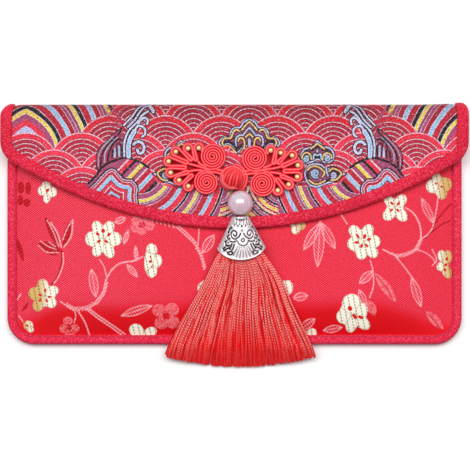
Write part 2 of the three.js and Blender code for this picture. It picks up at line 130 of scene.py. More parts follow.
class Paint:
    def __init__(self, name):
        self.material = bpy.data.materials.new(name)
        self.material.use_nodes = True
        self.tree = self.material.node_tree
        self.tree.nodes.clear()

    def node(self, kind, settings, inputs, out=0):
        made = self.tree.nodes.new(kind)
        for key, setting in settings.items():
            if key == "stops":
                elements = made.color_ramp.elements
                while len(elements) < len(setting):
                    elements.new(0.5)
                for element, (place, color) in zip(elements, setting):
                    element.position, element.color = place, dye(color)
            elif key == "rampStyle":
                made.color_ramp.interpolation = setting
            else:
                setattr(made, key, setting)
        for key, given in inputs.items():
            if isinstance(given, Value):
                self.tree.links.new(given.socket, made.inputs[key])
            else:
                made.inputs[key].default_value = dye(given)
        return Value(self, made.outputs[out]) if made.outputs else None

    def attribute(self, name, out="Fac"):
        return self.node("ShaderNodeAttribute", {"attribute_name": name}, {}, out)

    def split(self, vector):
        made = self.node("ShaderNodeSeparateXYZ", {}, {0: vector})
        return [Value(self, socket) for socket in made.socket.node.outputs]

    def point(self, x, y, z):
        return self.node("ShaderNodeCombineXYZ", {}, {0: x, 1: y, 2: z})

    def place(self):
        return self.node("ShaderNodeTexCoord", {}, {}, "Object")

    def up(self):  # 1 where the surface faces up, 0 on its sides
        return self.split(self.node("ShaderNodeNewGeometry", {}, {}, "Normal"))[2]

    def noise(self, scale, detail=2.0, vector=None, out=0):
        given = {"Vector": vector or self.place(), "Scale": scale, "Detail": detail}
        return self.node("ShaderNodeTexNoise", {}, given, out)

    def ramp(self, factor, stops, style="CONSTANT"):
        return self.node("ShaderNodeValToRGB", {"stops": stops, "rampStyle": style}, {0: factor})

    def mix(self, factor, first, second, style="MIX"):
        return self.node("ShaderNodeMix", {"data_type": "RGBA", "blend_type": style},
                         {0: factor, 6: first, 7: second}, 2)

    def coats(self, color, *layers):  # share and colour of each coat, laid one over another
        for share, coat in layers:
            color = self.mix(share, color, coat)
        return color

    def finish(self, color, roughness, height=None, depth=0.1, **fixed):
        inputs = {"Base Color": color, "Roughness": roughness}
        if height is not None:
            inputs["Normal"] = self.node("ShaderNodeBump", {}, {"Height": height, "Strength": 1.0,
                                                                "Distance": depth * mm})
        inputs.update({key.replace("_", " "): given for key, given in fixed.items()})
        surface = self.node("ShaderNodeBsdfPrincipled", {}, inputs)
        self.node("ShaderNodeOutputMaterial", {}, {0: surface})
        return self.material


def threadPaint(name, dark, light):
    p = Paint(name)
    grain = p.noise(1600.0)
    return p.finish(p.mix(grain, dark, light), grain * 0.2 + 0.45, grain, 0.05)


# mesh helpers

def addObject(name, mesh, material=None):
    made = bpy.data.objects.new(name, mesh)
    bpy.context.scene.collection.objects.link(made)
    if material:
        mesh.materials.append(material)
    return made


def dress(made, slot, *nodes):  # put a piece on the body and in place of the frame's solids; the slot is not used
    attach(made, "root")
    if nodes:
        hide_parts(*nodes)


def faceOutward(mesh):
    work = bmesh.new()
    work.from_mesh(mesh)
    bmesh.ops.recalc_face_normals(work, faces=work.faces)
    work.to_mesh(mesh)
    work.free()


def setMarks(mesh, marks):  # values or vectors that the points carry
    for label, values in (marks or {}).items():
        values = np.asarray(values, dtype=np.float32)
        kind, key = ("FLOAT", "value") if values.ndim == 1 else ("FLOAT_VECTOR", "vector")
        mesh.attributes.new(label, kind, "POINT").data.foreach_set(key, values.ravel())


def solidMesh(name, points, faces, marks):
    mesh = bpy.data.meshes.new(name)
    mesh.from_pydata((np.asarray(points) * mm).tolist(), [], faces)
    mesh.polygons.foreach_set("use_smooth", [True] * len(mesh.polygons))
    setMarks(mesh, marks)
    mesh.update()
    faceOutward(mesh)
    return mesh


def gridFaces(rows, columns, start=0, flip=False, wrap=False):
    across = columns if wrap else columns - 1
    r, c = np.meshgrid(np.arange(rows - 1), np.arange(across), indexing="ij")
    a = start + r * columns + c
    b = start + r * columns + (c + 1) % columns
    quads = np.stack([a, b, b + columns, a + columns], -1).reshape(-1, 4)
    return (quads[:, ::-1] if flip else quads).tolist()


def clothShell(name, outer, inner, every, marks):  # inner has every so-manieth row of outer
    rows, columns = outer.shape[:2]
    innerRows = inner.shape[0]
    start = rows * columns
    faces = gridFaces(rows, columns) + gridFaces(innerRows, columns, start, True)
    for c in range(columns - 1):
        low, high = start + c, start + (innerRows - 1) * columns + c
        faces.append([c, low, low + 1, c + 1])
        top = (rows - 1) * columns + c
        faces.append([top + 1, high + 1, high, top])
    for r in range(innerRows - 1):
        for c, turn in ((0, 1), (columns - 1, -1)):
            rim = [(r * every + i) * columns + c for i in range(every + 1)]
            rim += [start + (r + 1) * columns + c, start + r * columns + c]
            faces.append(rim[::turn])
    points = np.concatenate([outer.reshape(-1, 3), inner.reshape(-1, 3)])
    full = {}
    for label, values in marks.items():
        within = values.reshape(rows, columns, -1)[::every].reshape((-1,) + values.shape[1:])
        full[label] = np.concatenate([values, within])
    return solidMesh(name, points, faces, full)


def loft(name, rings, material=None, marks=None, closed=False):  # rings: count x sides x 3
    count, sides = rings.shape[:2]
    faces = gridFaces(count, sides, wrap=True)
    last = (count - 1) * sides
    if closed:
        faces += [[last + c, last + (c + 1) % sides, (c + 1) % sides, c] for c in range(sides)]
    else:
        faces += [list(range(sides)), list(range(last, count * sides))]
    return addObject(name, solidMesh(name, rings.reshape(-1, 3), faces, marks), material)


def turned(profile, sides, axis):  # rings of a turned shape, from rows of place along the axis and radius
    along, radius = np.asarray(profile).T[..., None]
    angle = np.arange(sides) * 2 * np.pi / sides
    rings = [radius * np.cos(angle), radius * np.sin(angle)]
    rings.insert(axis, along + 0 * angle)
    return np.stack(rings, -1)


def level(path, z):  # a plan path at one height
    return np.column_stack([path, np.full(len(path), z)])


def runLength(path):
    return np.concatenate([[0], np.cumsum(np.linalg.norm(np.diff(path, axis=0), axis=1))])


def evenly(path, step):  # the same path in even steps
    length = runLength(path)
    at = np.linspace(0, length[-1], max(2, int(length[-1] / step) + 1))
    return np.stack([np.interp(at, length, path[:, i]) for i in (0, 1)], 1)


# geometry node trees

class Tree:
    def __init__(self, name, inputs):
        self.group = bpy.data.node_groups.new(name, "GeometryNodeTree")
        face = self.group.interface
        face.new_socket("Geometry", in_out="INPUT", socket_type="NodeSocketGeometry")
        for label, kind in inputs.items():
            face.new_socket(label, in_out="INPUT", socket_type="NodeSocket" + kind)
        face.new_socket("Geometry", in_out="OUTPUT", socket_type="NodeSocketGeometry")
        self.entry = self.group.nodes.new("NodeGroupInput")

    def given(self, label):
        return self.entry.outputs[label]

    def node(self, kind, settings, inputs, out=0):
        made = self.group.nodes.new("GeometryNode" + kind)
        for key, setting in settings.items():
            setattr(made, key, setting)
        for key, given in inputs.items():
            if isinstance(given, bpy.types.NodeSocket):
                self.group.links.new(given, made.inputs[key])
            else:
                made.inputs[key].default_value = given
        return made.outputs[out]

    def mark(self, geometry, label, measure):  # keep how far along its curve each point lies
        value = self.node("SplineParameter", {}, {}, measure)
        return self.node("StoreNamedAttribute", {"data_type": "FLOAT", "domain": "POINT"},
                         {"Geometry": geometry, "Name": label, "Value": value})

    def end(self, geometry):
        smoothed = self.node("SetShadeSmooth", {}, {0: geometry})
        plain = self.node("RealizeInstances", {}, {0: smoothed})
        done = self.node("SetMaterial", {}, {0: plain, "Material": self.given("Material")})
        self.group.links.new(done, self.group.nodes.new("NodeGroupOutput").inputs[0])
        return self.group


def sweepTree(name, sides=0):  # a round thread along the paths, or a strip on edge where it has no sides
    sizes = ("Width",) if sides else ("Width", "Height", "Round")
    tree = Tree(name, {**dict.fromkeys(sizes, "Float"), "Material": "Material"})
    curve = tree.node("MeshToCurve", {}, {0: tree.given("Geometry")})
    if sides:
        section = tree.node("CurvePrimitiveCircle", {"mode": "RADIUS"},
                            {"Resolution": sides, "Radius": tree.given("Width")})
    else:
        curve = tree.node("SetCurveNormal", {"mode": "Z_UP"}, {0: curve})
        box = tree.node("CurvePrimitiveQuadrilateral", {"mode": "RECTANGLE"},
                        {"Width": tree.given("Width"), "Height": tree.given("Height")})
        section = tree.node("FilletCurve", {"mode": "POLY"},
                            {"Curve": box, "Count": 3, "Radius": tree.given("Round")})
    curve = tree.mark(curve, "along", "Length")
    section = tree.mark(section, "across", "Factor")
    return tree.end(tree.node("CurveToMesh", {}, {"Curve": curve, "Profile Curve": section, "Fill Caps": True}))


def scatterTree(name):  # one small shape on every point, turned about z as the point says
    tree = Tree(name, {"Shape": "Object", "Material": "Material"})
    shape = tree.node("ObjectInfo", {"transform_space": "ORIGINAL"}, {"Object": tree.given("Shape")},
                      "Geometry")
    turn = tree.node("InputNamedAttribute", {"data_type": "FLOAT_VECTOR"}, {"Name": "turn"})
    placed = tree.node("InstanceOnPoints", {}, {"Points": tree.given("Geometry"), "Instance": shape,
                                                "Rotation": turn})
    return tree.end(placed)


def grow(name, paths, group, given, marks=None):  # run a tree on loose paths and keep the plain result
    edges, start = [], 0
    for path in paths:
        edges += [(start + i, start + i + 1) for i in range(len(path) - 1)]
        start += len(path)
    mesh = bpy.data.meshes.new(name + "_path")
    mesh.from_pydata((np.concatenate(paths) * mm).tolist(), edges, [])
    setMarks(mesh, marks)
    made = addObject(name, mesh)
    modifier = made.modifiers.new("grow", "NODES")
    modifier.node_group = group
    for item in group.interface.items_tree:
        if item.in_out == "INPUT" and item.name in given:
            modifier[item.identifier] = given[item.name]
    graph = bpy.context.evaluated_depsgraph_get()
    result = bpy.data.meshes.new_from_object(made.evaluated_get(graph), preserve_all_data_layers=True,
                                             depsgraph=graph)
    made.modifiers.clear()
    made.data = result
    faceOutward(result)
    return made


def scatter(name, shape, places, headings, material):  # sew a small shape on at every place
    turn = np.column_stack([np.zeros((len(places), 2)), headings])
    return grow(name, [places], dotTree, {"Shape": shape, "Material": material}, {"turn": turn})


stripTree = sweepTree("silk strip")
threadTree = sweepTree("twisted thread", 5)
knotTree = sweepTree("knot strand", 10)
dotTree = scatterTree("sewn on")


# drawing on the squared paper: every field is positive inside its shape

pen = {
    "reach": 6.0, "pairsAtOnce": 2000000, "leafSteps": 12, "leafFull": 0.8, "spiralSteps": 40, "spiralIn": 0.82,
}


def flow(points, steps, closed=False):  # a smooth curve through the points
    p = np.asarray(points, dtype=float)
    if closed:
        p = np.concatenate([p[-1:], p, p[:2]])
    else:
        p = np.concatenate([2 * p[:1] - p[1:2], p, 2 * p[-1:] - p[-2:-1]])
    t = (np.arange(steps) / steps)[:, None]
    parts = []
    for a, b, c, d in zip(p[:-3], p[1:-2], p[2:-1], p[3:]):
        parts.append(0.5 * (2 * b + (c - a) * t + (2 * a - 5 * b + 4 * c - d) * t ** 2
                            + (3 * b - a - 3 * c + d) * t ** 3))
    if not closed:
        parts.append(p[-2:-1])
    return np.concatenate(parts)


def blankFields(labels, count):
    return {label: np.full(count, -pen["reach"]) for label in labels}


def nearby(at, points):
    low, high = points.min(0) - pen["reach"], points.max(0) + pen["reach"]
    return np.nonzero(((at > low) & (at < high)).all(1))[0]


def nearbyParts(at, points):  # the nearby places, a few at once
    pick = nearby(at, points)
    parts = np.array_split(pick, len(pick) * len(points) // pen["pairsAtOnce"] + 1)
    return [part for part in parts if len(part)]


def pathDistance(at, points):
    p = at[:, None, :]
    a, step = points[None, :-1], (points[1:] - points[:-1])[None]
    share = np.clip(((p - a) * step).sum(2) / np.maximum((step * step).sum(2), 1e-9), 0, 1)
    return np.sqrt(((p - a - step * share[..., None]) ** 2).sum(2).min(1))


def drawStroke(field, at, points, half):
    points = np.asarray(points, dtype=float)
    for part in nearbyParts(at, points):
        field[part] = np.maximum(field[part], half - pathDistance(at[part], points))


def drawPatch(field, at, outline):
    outline = np.asarray(outline, dtype=float)
    ring = np.concatenate([outline, outline[:1]])
    for part in nearbyParts(at, ring):
        p, a, b = at[part][:, None, :], ring[None, :-1], ring[None, 1:]
        crosses = (a[..., 1] > p[..., 1]) != (b[..., 1] > p[..., 1])
        rise = np.where(b[..., 1] == a[..., 1], 1e-9, b[..., 1] - a[..., 1])
        left = p[..., 0] < a[..., 0] + (b[..., 0] - a[..., 0]) * (p[..., 1] - a[..., 1]) / rise
        inside = (crosses & left).sum(1) % 2 == 1
        distance = pathDistance(at[part], ring)
        field[part] = np.maximum(field[part], np.where(inside, distance, -distance))


def drawOval(field, at, centre, wide, tall, angle=0.0, second=None):  # second keeps where ovals overlap
    centre = np.array(centre, dtype=float)
    pick = nearby(at, np.array([centre - max(wide, tall), centre + max(wide, tall)]))
    d = at[pick] - centre
    along = d[:, 0] * math.cos(angle) + d[:, 1] * math.sin(angle)
    off = d[:, 1] * math.cos(angle) - d[:, 0] * math.sin(angle)
    value = (1 - np.sqrt((along / wide) ** 2 + (off / tall) ** 2)) * min(wide, tall)
    if second is not None:
        second[pick] = np.maximum(second[pick], np.minimum(field[pick], value))
    field[pick] = np.maximum(field[pick], value)


def leafOutline(base, tip, width):
    base, tip = np.array(base, dtype=float), np.array(tip, dtype=float)
    t = np.linspace(0, 1, pen["leafSteps"])[:, None]
    side = np.array([base[1] - tip[1], tip[0] - base[0]])
    side = side / np.linalg.norm(side) * width / 2
    spine = base + (tip - base) * t
    bulge = np.sin(np.pi * t) ** pen["leafFull"] * side
    return np.concatenate([spine + bulge, (spine - bulge)[-2:0:-1]])


def polar(centre, angle, reach):
    return centre[0] + reach * math.cos(angle), centre[1] + reach * math.sin(angle)


def spiral(centre, radius, turns, start, way):
    t = np.linspace(0, 1, pen["spiralSteps"])
    angle = math.radians(start) + way * turns * 2 * np.pi * t
    far = radius * (1 - pen["spiralIn"] * t)
    return np.stack([centre[0] + far * np.cos(angle), centre[1] + far * np.sin(angle)], 1)


def arc(centre, radius, start, end, way=1, step=14.0):
    sweep = ((end - start) * way) % (2 * math.pi)
    count = max(1, math.ceil(sweep / math.radians(step)))
    angle = start + way * sweep * np.arange(count + 1) / count
    return np.stack([centre[0] + radius * np.cos(angle), centre[1] + radius * np.sin(angle)], 1)


def toDraft(x, y):
    return np.stack([draft["middleX"] + x / draft["square"], draft["middleY"] - y / draft["square"]], -1)


def drawnMarks(at, fields):  # what the cloth's points carry for the paint
    return {"draft": np.column_stack([at, np.zeros(len(at))]), **fields}


# pouch and flap surfaces, as in the frame (mm)

pouch = {
    "halfWidth": 92.75, "halfHeight": 48.9, "corner": 11.0, "tape": 1.0, "cloth": 1.0, "tapeWidth": 3.9,
    "bulge": 4.8, "sideRise": 40.0, "footRise": 18.0, "mouthY": 38.0, "seamY": 40.0, "backSink": 5.0,
    "edge": 4.7, "rimInset": 4.3, "edgeInset": 1.2, "backRimZ": 1.2, "frontRimZ": 2.5, "seamGap": 0.15,
}
flap = {
    "halfWidth": 95.0, "tapeWidth": 4.9, "tipY": -1.8, "bow": 30.0, "cornerRun": 5.0, "cornerRise": 6.0,
    "edge": 3.4, "edgeZ": 8.9, "plateauZ": 9.9, "lapZ": 1.7, "lapY": 40.3,
    "pullFrom": 72, "pullRun": 23, "leftPull": 2.4, "rightPull": 1.3, "rightLift": 0.8,
    "foldPuff": 1.1, "puffRun": 7, "underTape": 1.3, "cornerFrom": 88, "cornerWidth": 5.8, "cornerCut": 5.0,
}


def easeOut(share):
    return 1 - (1 - np.clip(share, 0, 1)) ** 2


def smooth(share):
    share = np.clip(share, 0, 1)
    return share * share * (3 - 2 * share)


def fromSide(x):
    return pouch["halfWidth"] - pouch["rimInset"] - np.abs(x)


def fromFoot(y):
    return y + pouch["halfHeight"] - pouch["rimInset"]


def acrossCrown(x):
    return easeOut(fromSide(x) / pouch["sideRise"])


def frontZ(x, y):
    return pouch["frontRimZ"] + pouch["bulge"] * acrossCrown(x) * easeOut(fromFoot(y) / pouch["footRise"])


def backZ(x, y):
    inwards = (fromSide(x), fromFoot(y), pouch["seamY"] - y)
    side, foot, head = [smooth(far / pouch["backSink"]) for far in inwards]
    return pouch["backRimZ"] * (1 - side * foot * head)


def bowY(x):
    return flap["tipY"] + flap["bow"] * (x / flap["halfWidth"]) ** 2


def foldRadius(x):
    middleZ = flap["edgeZ"] + (flap["plateauZ"] - flap["edgeZ"]) * acrossCrown(x) + pouch["cloth"] / 2
    return (middleZ - flap["lapZ"]) / 2


def foldY(x):
    return pouch["halfHeight"] - flap["edge"] / 2 - foldRadius(x)


def flapPoint(x, run, lift):  # run is y in front, and goes on along the cloth over the fold
    radius, start = foldRadius(x), foldY(x)
    past = run - start
    angle = np.clip(past / radius, 0, np.pi)
    bend = np.sin(angle)
    y = np.where(past > 0, start + (radius + lift) * bend, run)
    y = np.where(past > np.pi * radius, start - (past - np.pi * radius), y)
    z = flap["lapZ"] + radius + (radius + lift) * np.cos(angle)
    far = np.clip((np.abs(x) - flap["pullFrom"]) / flap["pullRun"], 0, 1) ** 2  # the fold's ends pull in
    pull = np.where(x < 0, flap["leftPull"] * bend ** 3, flap["rightPull"] * bend ** 6) * far ** 2
    raised = np.where(x < 0, 0.0, flap["rightLift"]) * far * bend ** 2
    return np.stack([x - np.sign(x) * pull, y + raised, z], -1)


def flapEnd(x):  # run at the end of the lap behind
    return 2 * foldY(x) + np.pi * foldRadius(x) - flap["lapY"]


# flap brocade: sea waves, hills, spray and clouds

brocade = {
    "columns": 501, "rows": 168, "frontRows": 140, "every": 7, "relief": 0.09, "line": 0.75, "archLine": 1.15,
    "pitch": 55.7, "rowStep": 16.85, "rowStart": 99.15, "scale": 32.0, "band": 6.6, "arc": 4.4,
    "scaleEdge": (140.0, 0.6, 113.0), "scaleCorner": (218.0, 126.0), "floatPitch": 3.1, "ribs": 5.6,
    "legCentre": (237.8, 157.2), "legFold": 223.0, "legStart": 45.0, "legPeriod": 29.8,
    "lens": (34.5, 40.0, 44.6), "shoreCentre": (110.0, 170.0), "shoreStart": 29.1, "shorePeriod": 31.0,
    "shoreInner": 24.0, "shoreTo": 80.0, "fanCentre": (36.0, 180.0), "fanStart": 24.5, "fanPeriod": 17.0,
    "fanTo": 29.0, "fanRagged": 2.5, "ragged": 1.5, "hillSlope": (-0.72, 0.69), "hillStart": 20.0,
    "hillDepth": 45.0, "knollDepth": 24.0, "cloudDepth": 16.0, "sprayDepth": 4.0, "outline": 1.0,
    "brightFrom": 106.0, "brightTo": 160.0, "shadeFrom": 103.0, "shadeTo": 128.0,
    "silk": {
        "white": "#ecd4e2", "yellow": "#f6dc58", "plum": "#4a1830", "red": "#c61a34", "blue": "#a4cdee",
        "deep": "#b00c26", "mauve": "#b04a74", "lavender": "#c8c6ec", "gold": "#fcca7c", "black": "#12080f",
        "dusk": "#9a4668", "bright": "#ee2e48", "mist": "#d8d8f4", "water": "#a2cce4", "rose": "#c8486a",
        "wine": "#782038", "shade": "#a03048", "coral": "#f83450", "scarlet": "#d80a1a", "cherry": "#d41a3a",
        "garnet": "#ba0820",
    },
    # bands of the arched waves, the shore and the fan: colour, width
    "legBands": [("yellow", 3.6), ("black", 4.3), ("red", 6.2), ("blue", 4.4), ("deep", 4.9), ("mauve", 3.3),
                 ("dusk", 3.1)],
    "shoreBands": [("yellow", 3.3), ("plum", 1.3), ("mauve", 3.0), ("red", 6.0), ("blue", 3.6),
                   ("bright", 6.0), ("black", 2.6), ("mauve", 5.2)],
    "fanBands": [("plum", 2.8), ("red", 2.2), ("yellow", 3.0), ("red", 2.2), ("gold", 1.6), ("plum", 2.6),
                 ("mauve", 2.6)],
    # bands of the hill, its knoll, the clouds and the spray: start, as a share of the whole depth, and colour
    "hillBands": [(0.0, "mauve"), (0.03, "red"), (0.055, "white"), (0.09, "bright"), (0.178, "black"),
                  (0.233, "mauve"), (0.322, "white"), (0.338, "yellow"), (0.411, "plum"), (0.427, "mauve"),
                  (0.5, "white"), (0.53, "red"), (0.633, "white"), (0.65, "blue"), (0.72, "white"),
                  (0.735, "red"), (0.833, "black"), (0.9, "mauve")],
    "knollBands": [(0.0, "black"), (0.06, "white"), (0.09, "mauve"), (0.16, "white"), (0.185, "red"),
                   (0.29, "white"), (0.32, "blue"), (0.45, "plum"), (0.48, "bright"), (0.6, "white"),
                   (0.64, "red"), (0.76, "blue"), (0.85, "deep")],
    "cloudBands": [(0.0, "black"), (0.06, "lavender"), (0.16, "black"), (0.25, "plum"), (0.36, "dusk")],
    "sprayBands": [(0.0, "black"), (0.25, "mist"), (0.53, "blue")],
}
cloudShapes = [
    [(0, 118), (4, 119.5), (7.6, 122), (10, 126), (13.8, 126.4), (17.5, 128), (20.3, 132), (20.7, 136),
     (24, 135.4), (27.5, 137), (31, 140.4), (31.7, 144.4), (29.4, 147.6), (25.4, 147.4), (21.6, 146),
     (18, 148.6), (15, 152.6), (12, 155), (8.4, 152.4), (5, 149), (0, 147.6)],
    [(68, 139.5), (71.6, 142.2), (74.6, 145.6), (79.6, 146.4), (84, 150), (85.8, 155), (85, 160), (81.6, 163.4),
     (77, 164.4), (72.6, 163.4), (68, 161.4), (62.6, 163.8), (57, 164.8), (52.2, 162.8), (49.8, 158),
     (50.8, 152.4), (54.2, 148), (58.8, 146.6), (62.6, 145), (65, 141.8)],
    [(55, 168.8), (59, 164), (66, 162.4), (73, 164), (77.4, 167.8), (81.8, 166.4), (87.6, 167.4), (91.6, 171.2),
     (98, 173.8), (92.6, 177.2), (89.6, 181.2), (84.2, 183.2), (78.8, 184.6), (73, 187), (66, 188.6),
     (59, 186.2), (55, 180.2), (53.6, 174.2)],
]
cloudCurls = [  # centre, radius, turns, start, way
    ((57.2, 159.6), 3.3, 1.3, 300, -1), ((77.2, 158.8), 3.3, 1.3, 240, 1), ((65.8, 173.6), 4.6, 1.6, 60, 1),
    ((83.6, 175.2), 3.2, 1.3, 120, -1),
]
cloudGolds = [
    [(0, 122.2), (3.4, 125.2), (7.6, 130.4)],
    [(9.8, 131.4), (13.6, 130), (16.4, 133.2), (18.6, 138.4), (24.4, 138.7), (27, 142.6), (25, 146.6),
     (20.4, 146.2), (16.8, 149.4), (13, 153.4)],
    [(0, 134), (3.6, 137.4)],
    [(11, 141.4), (10.2, 138.9), (8, 138.2), (5.8, 139.8), (4.8, 143.4), (5.4, 148.4), (8.4, 152.6)],
    [(61.2, 149.2), (64.6, 146.4), (67.8, 144.2), (71, 146.4), (74.8, 149.2)],
    [(52.3, 159), (53.4, 155), (57, 152.9), (60.8, 155.2), (61.8, 159.6)],
    [(72.8, 160.4), (73.6, 156), (77.2, 153.2), (81, 155), (82.2, 158.6)],
    [(57.6, 170.6), (61, 167.4), (65.6, 166.4), (70.6, 168.4), (75, 172.8), (72.6, 177)],
    [(79.4, 171.6), (82.6, 168.8), (87, 169.8), (91.4, 173), (90, 176.8), (86, 180), (81.4, 180.4)],
    [(59.6, 180.4), (64.4, 183.8), (70, 183.6), (75.4, 180.8)],
]
cloudPales = [
    [(0, 128), (3, 131.2), (5.8, 135)], [(0, 139.4), (0, 146.4)], [(0.6, 139.4), (0.6, 146.4)],
    [(13, 146), (13.7, 141.6), (12.4, 137.2), (8.8, 135.4), (6, 136)],
    [(67.8, 149.8), (67.8, 152.4)],
    [(63.8, 159.4), (64.6, 154.6), (67.8, 155.6), (71, 154.6), (71.8, 159.4)],
    [(77, 164.6), (76.6, 170), (78.4, 176)],
]
archLine = [
    (100.4, 168), (107.5, 163), (115.3, 159.8), (123.8, 157.8), (132.9, 160.4), (141.3, 163.7), (147.8, 168.9),
    (153, 176), (160.5, 183.6),
]
hillShape = archLine + [(168, 192), (170, 226), (88, 226), (90, 188), (96, 177)]
knollShape = [
    (154.3, 181.9), (147.8, 174.7), (143.3, 170.2), (138.1, 167.6), (132.9, 168.9), (129, 173.4), (124.4, 178),
    (117.3, 178.7), (112.7, 182.6), (110.1, 187.8), (110.8, 197.5), (111, 226), (168, 226), (162, 192),
]
shoreShape = [
    (-20, 188), (0, 186.6), (20, 188.4), (45, 186), (70, 187.6), (84, 186), (93, 180), (100.4, 169), (112, 163),
    (112, 226), (-20, 226),
]
waveShape = [
    (151.4, 172), (153.4, 159.8), (151.7, 151.3), (147.2, 144.8), (141.3, 139.6), (138.7, 135.7),
    (134.8, 133.1), (130.9, 129.9), (126.6, 128.4), (126, 134.4), (124.4, 139.6), (125.1, 146.1), (124.4, 157),
    (132.9, 160.4), (141.3, 163.7), (147.8, 168.9),
]
waveLines = [  # points, half width
    ([(151.4, 172), (153.4, 159.8), (151.7, 151.3), (147.2, 144.8), (141.3, 139.6), (138.7, 135.7),
     (134.8, 133.1), (130.9, 129.9), (127, 128.6)], 0.95),
    ([(148.4, 167), (147.2, 156.5), (144.6, 150), (139.4, 143.5), (134.2, 138.3), (130.3, 134.4),
     (127.7, 130.5)], 0.85),
    ([(141.3, 161), (140, 153.3), (137.4, 147.4), (134.8, 142.9), (130.9, 139.6), (127.4, 140.3)], 0.9),
    ([(127.7, 156), (127.7, 147.4), (130.3, 143.5), (132.6, 146.1), (131.8, 156)], 0.7),
    ([(136.6, 158), (136.4, 150.6)], 0.9),
]
wavePales = [
    ([(150.4, 166.9), (150.1, 156.5), (146.5, 148.1), (140.7, 141.6), (135.5, 136.4)], 0.42),
    ([(144.6, 163), (143.9, 153.9), (141.3, 148.1), (136.8, 142.2), (131.6, 137.7)], 0.5),
    ([(134.3, 157), (133.4, 148.6)], 1.15), ([(129.7, 156.5), (129.9, 146.6)], 0.9),
    ([(125.8, 156), (126, 146.1), (127, 143)], 0.5),
]
ghostLines = [
    ([(141.3, 109.7), (135.5, 110.4), (130.9, 115.6), (127.7, 120.8), (129.6, 125.3), (135.5, 126.6),
     (137.4, 124.7)], 0.6),
    ([(139.4, 114.3), (134.2, 113.6), (130.9, 118.8), (132.9, 123.4)], 0.5),
    ([(131.6, 113), (126.4, 109.7), (119.9, 107.1)], 0.5), ([(143, 113), (138, 118.4), (134, 120.4)], 0.5),
]
sprayStrokes = [  # points, half width: every other one is the foam's
    ([(125.3, 125.8), (119.9, 120.2), (115.4, 115.5), (110.9, 109.9), (104.4, 105.6), (98.6, 102.4)], 0.8),
    ([(121.4, 127.6), (114.8, 120.9), (110.9, 115.7), (105.7, 109.9), (99.2, 105.8), (94.4, 103)], 0.8),
    ([(124.6, 156.6), (124.8, 146.1), (123.2, 137.4), (119.9, 130.8), (115.4, 125.9), (110.9, 121.4),
     (107, 116.4), (100.6, 112.6)], 0.9),
    ([(120.2, 156.6), (120.6, 148.1), (118.9, 139.6), (114.7, 131.8)], 2.2),
    ([(110.8, 124), (106.9, 119.5), (103.4, 118.4), (101.2, 120.8), (102, 124.6)], 1.0),
    ([(114, 130.5), (111.4, 126.6), (107.5, 126.6), (103.9, 129.9), (104.3, 135.1), (106.9, 137)], 1.0),
    ([(115.3, 144.8), (112.1, 142.2), (107.5, 142.9), (104.9, 147.4), (106.2, 152.6), (110.1, 153.3),
     (111.7, 150)], 1.3),
    ([(99.7, 107.4), (97.1, 110.7), (95.8, 113)], 1.6),
]
brocadeMarks = ("cloud", "curl", "gold", "hill", "knoll", "shore", "wave", "waveLine", "wavePale", "ghost",
                "arch", "spray", "foam")


def brocadeFields(at):
    side = np.stack([np.abs(at[:, 0]), at[:, 1]], 1)
    fields = blankFields(brocadeMarks, len(at))
    for shape in cloudShapes:
        cut = shape[0][0] == 0  # the mirror line cuts this cloud
        outline = flow(shape, 5, closed=not cut)
        if cut:
            outline = np.concatenate([outline, outline[::-1] * (-1, 1)])
        drawPatch(fields["cloud"], side, outline)
    for curl in cloudCurls:
        drawStroke(fields["curl"], side, spiral(*curl), brocade["line"])
    shapes = {"hill": hillShape, "knoll": knollShape, "wave": waveShape, "shore": shoreShape}
    for label, shape in shapes.items():
        drawPatch(fields[label], side, flow(shape, 5, closed=True))
    strokes = {
        "waveLine": waveLines, "wavePale": wavePales, "ghost": ghostLines,
        "spray": sprayStrokes[::2], "foam": sprayStrokes[1::2],
        "arch": [(archLine, brocade["archLine"])], "gold": [(line, brocade["line"]) for line in cloudGolds],
        "curl": [(line, brocade["line"]) for line in cloudPales],
    }
    for label, lines in strokes.items():
        for points, half in lines:
            drawStroke(fields[label], side, flow(points, 6), half)
    return fields


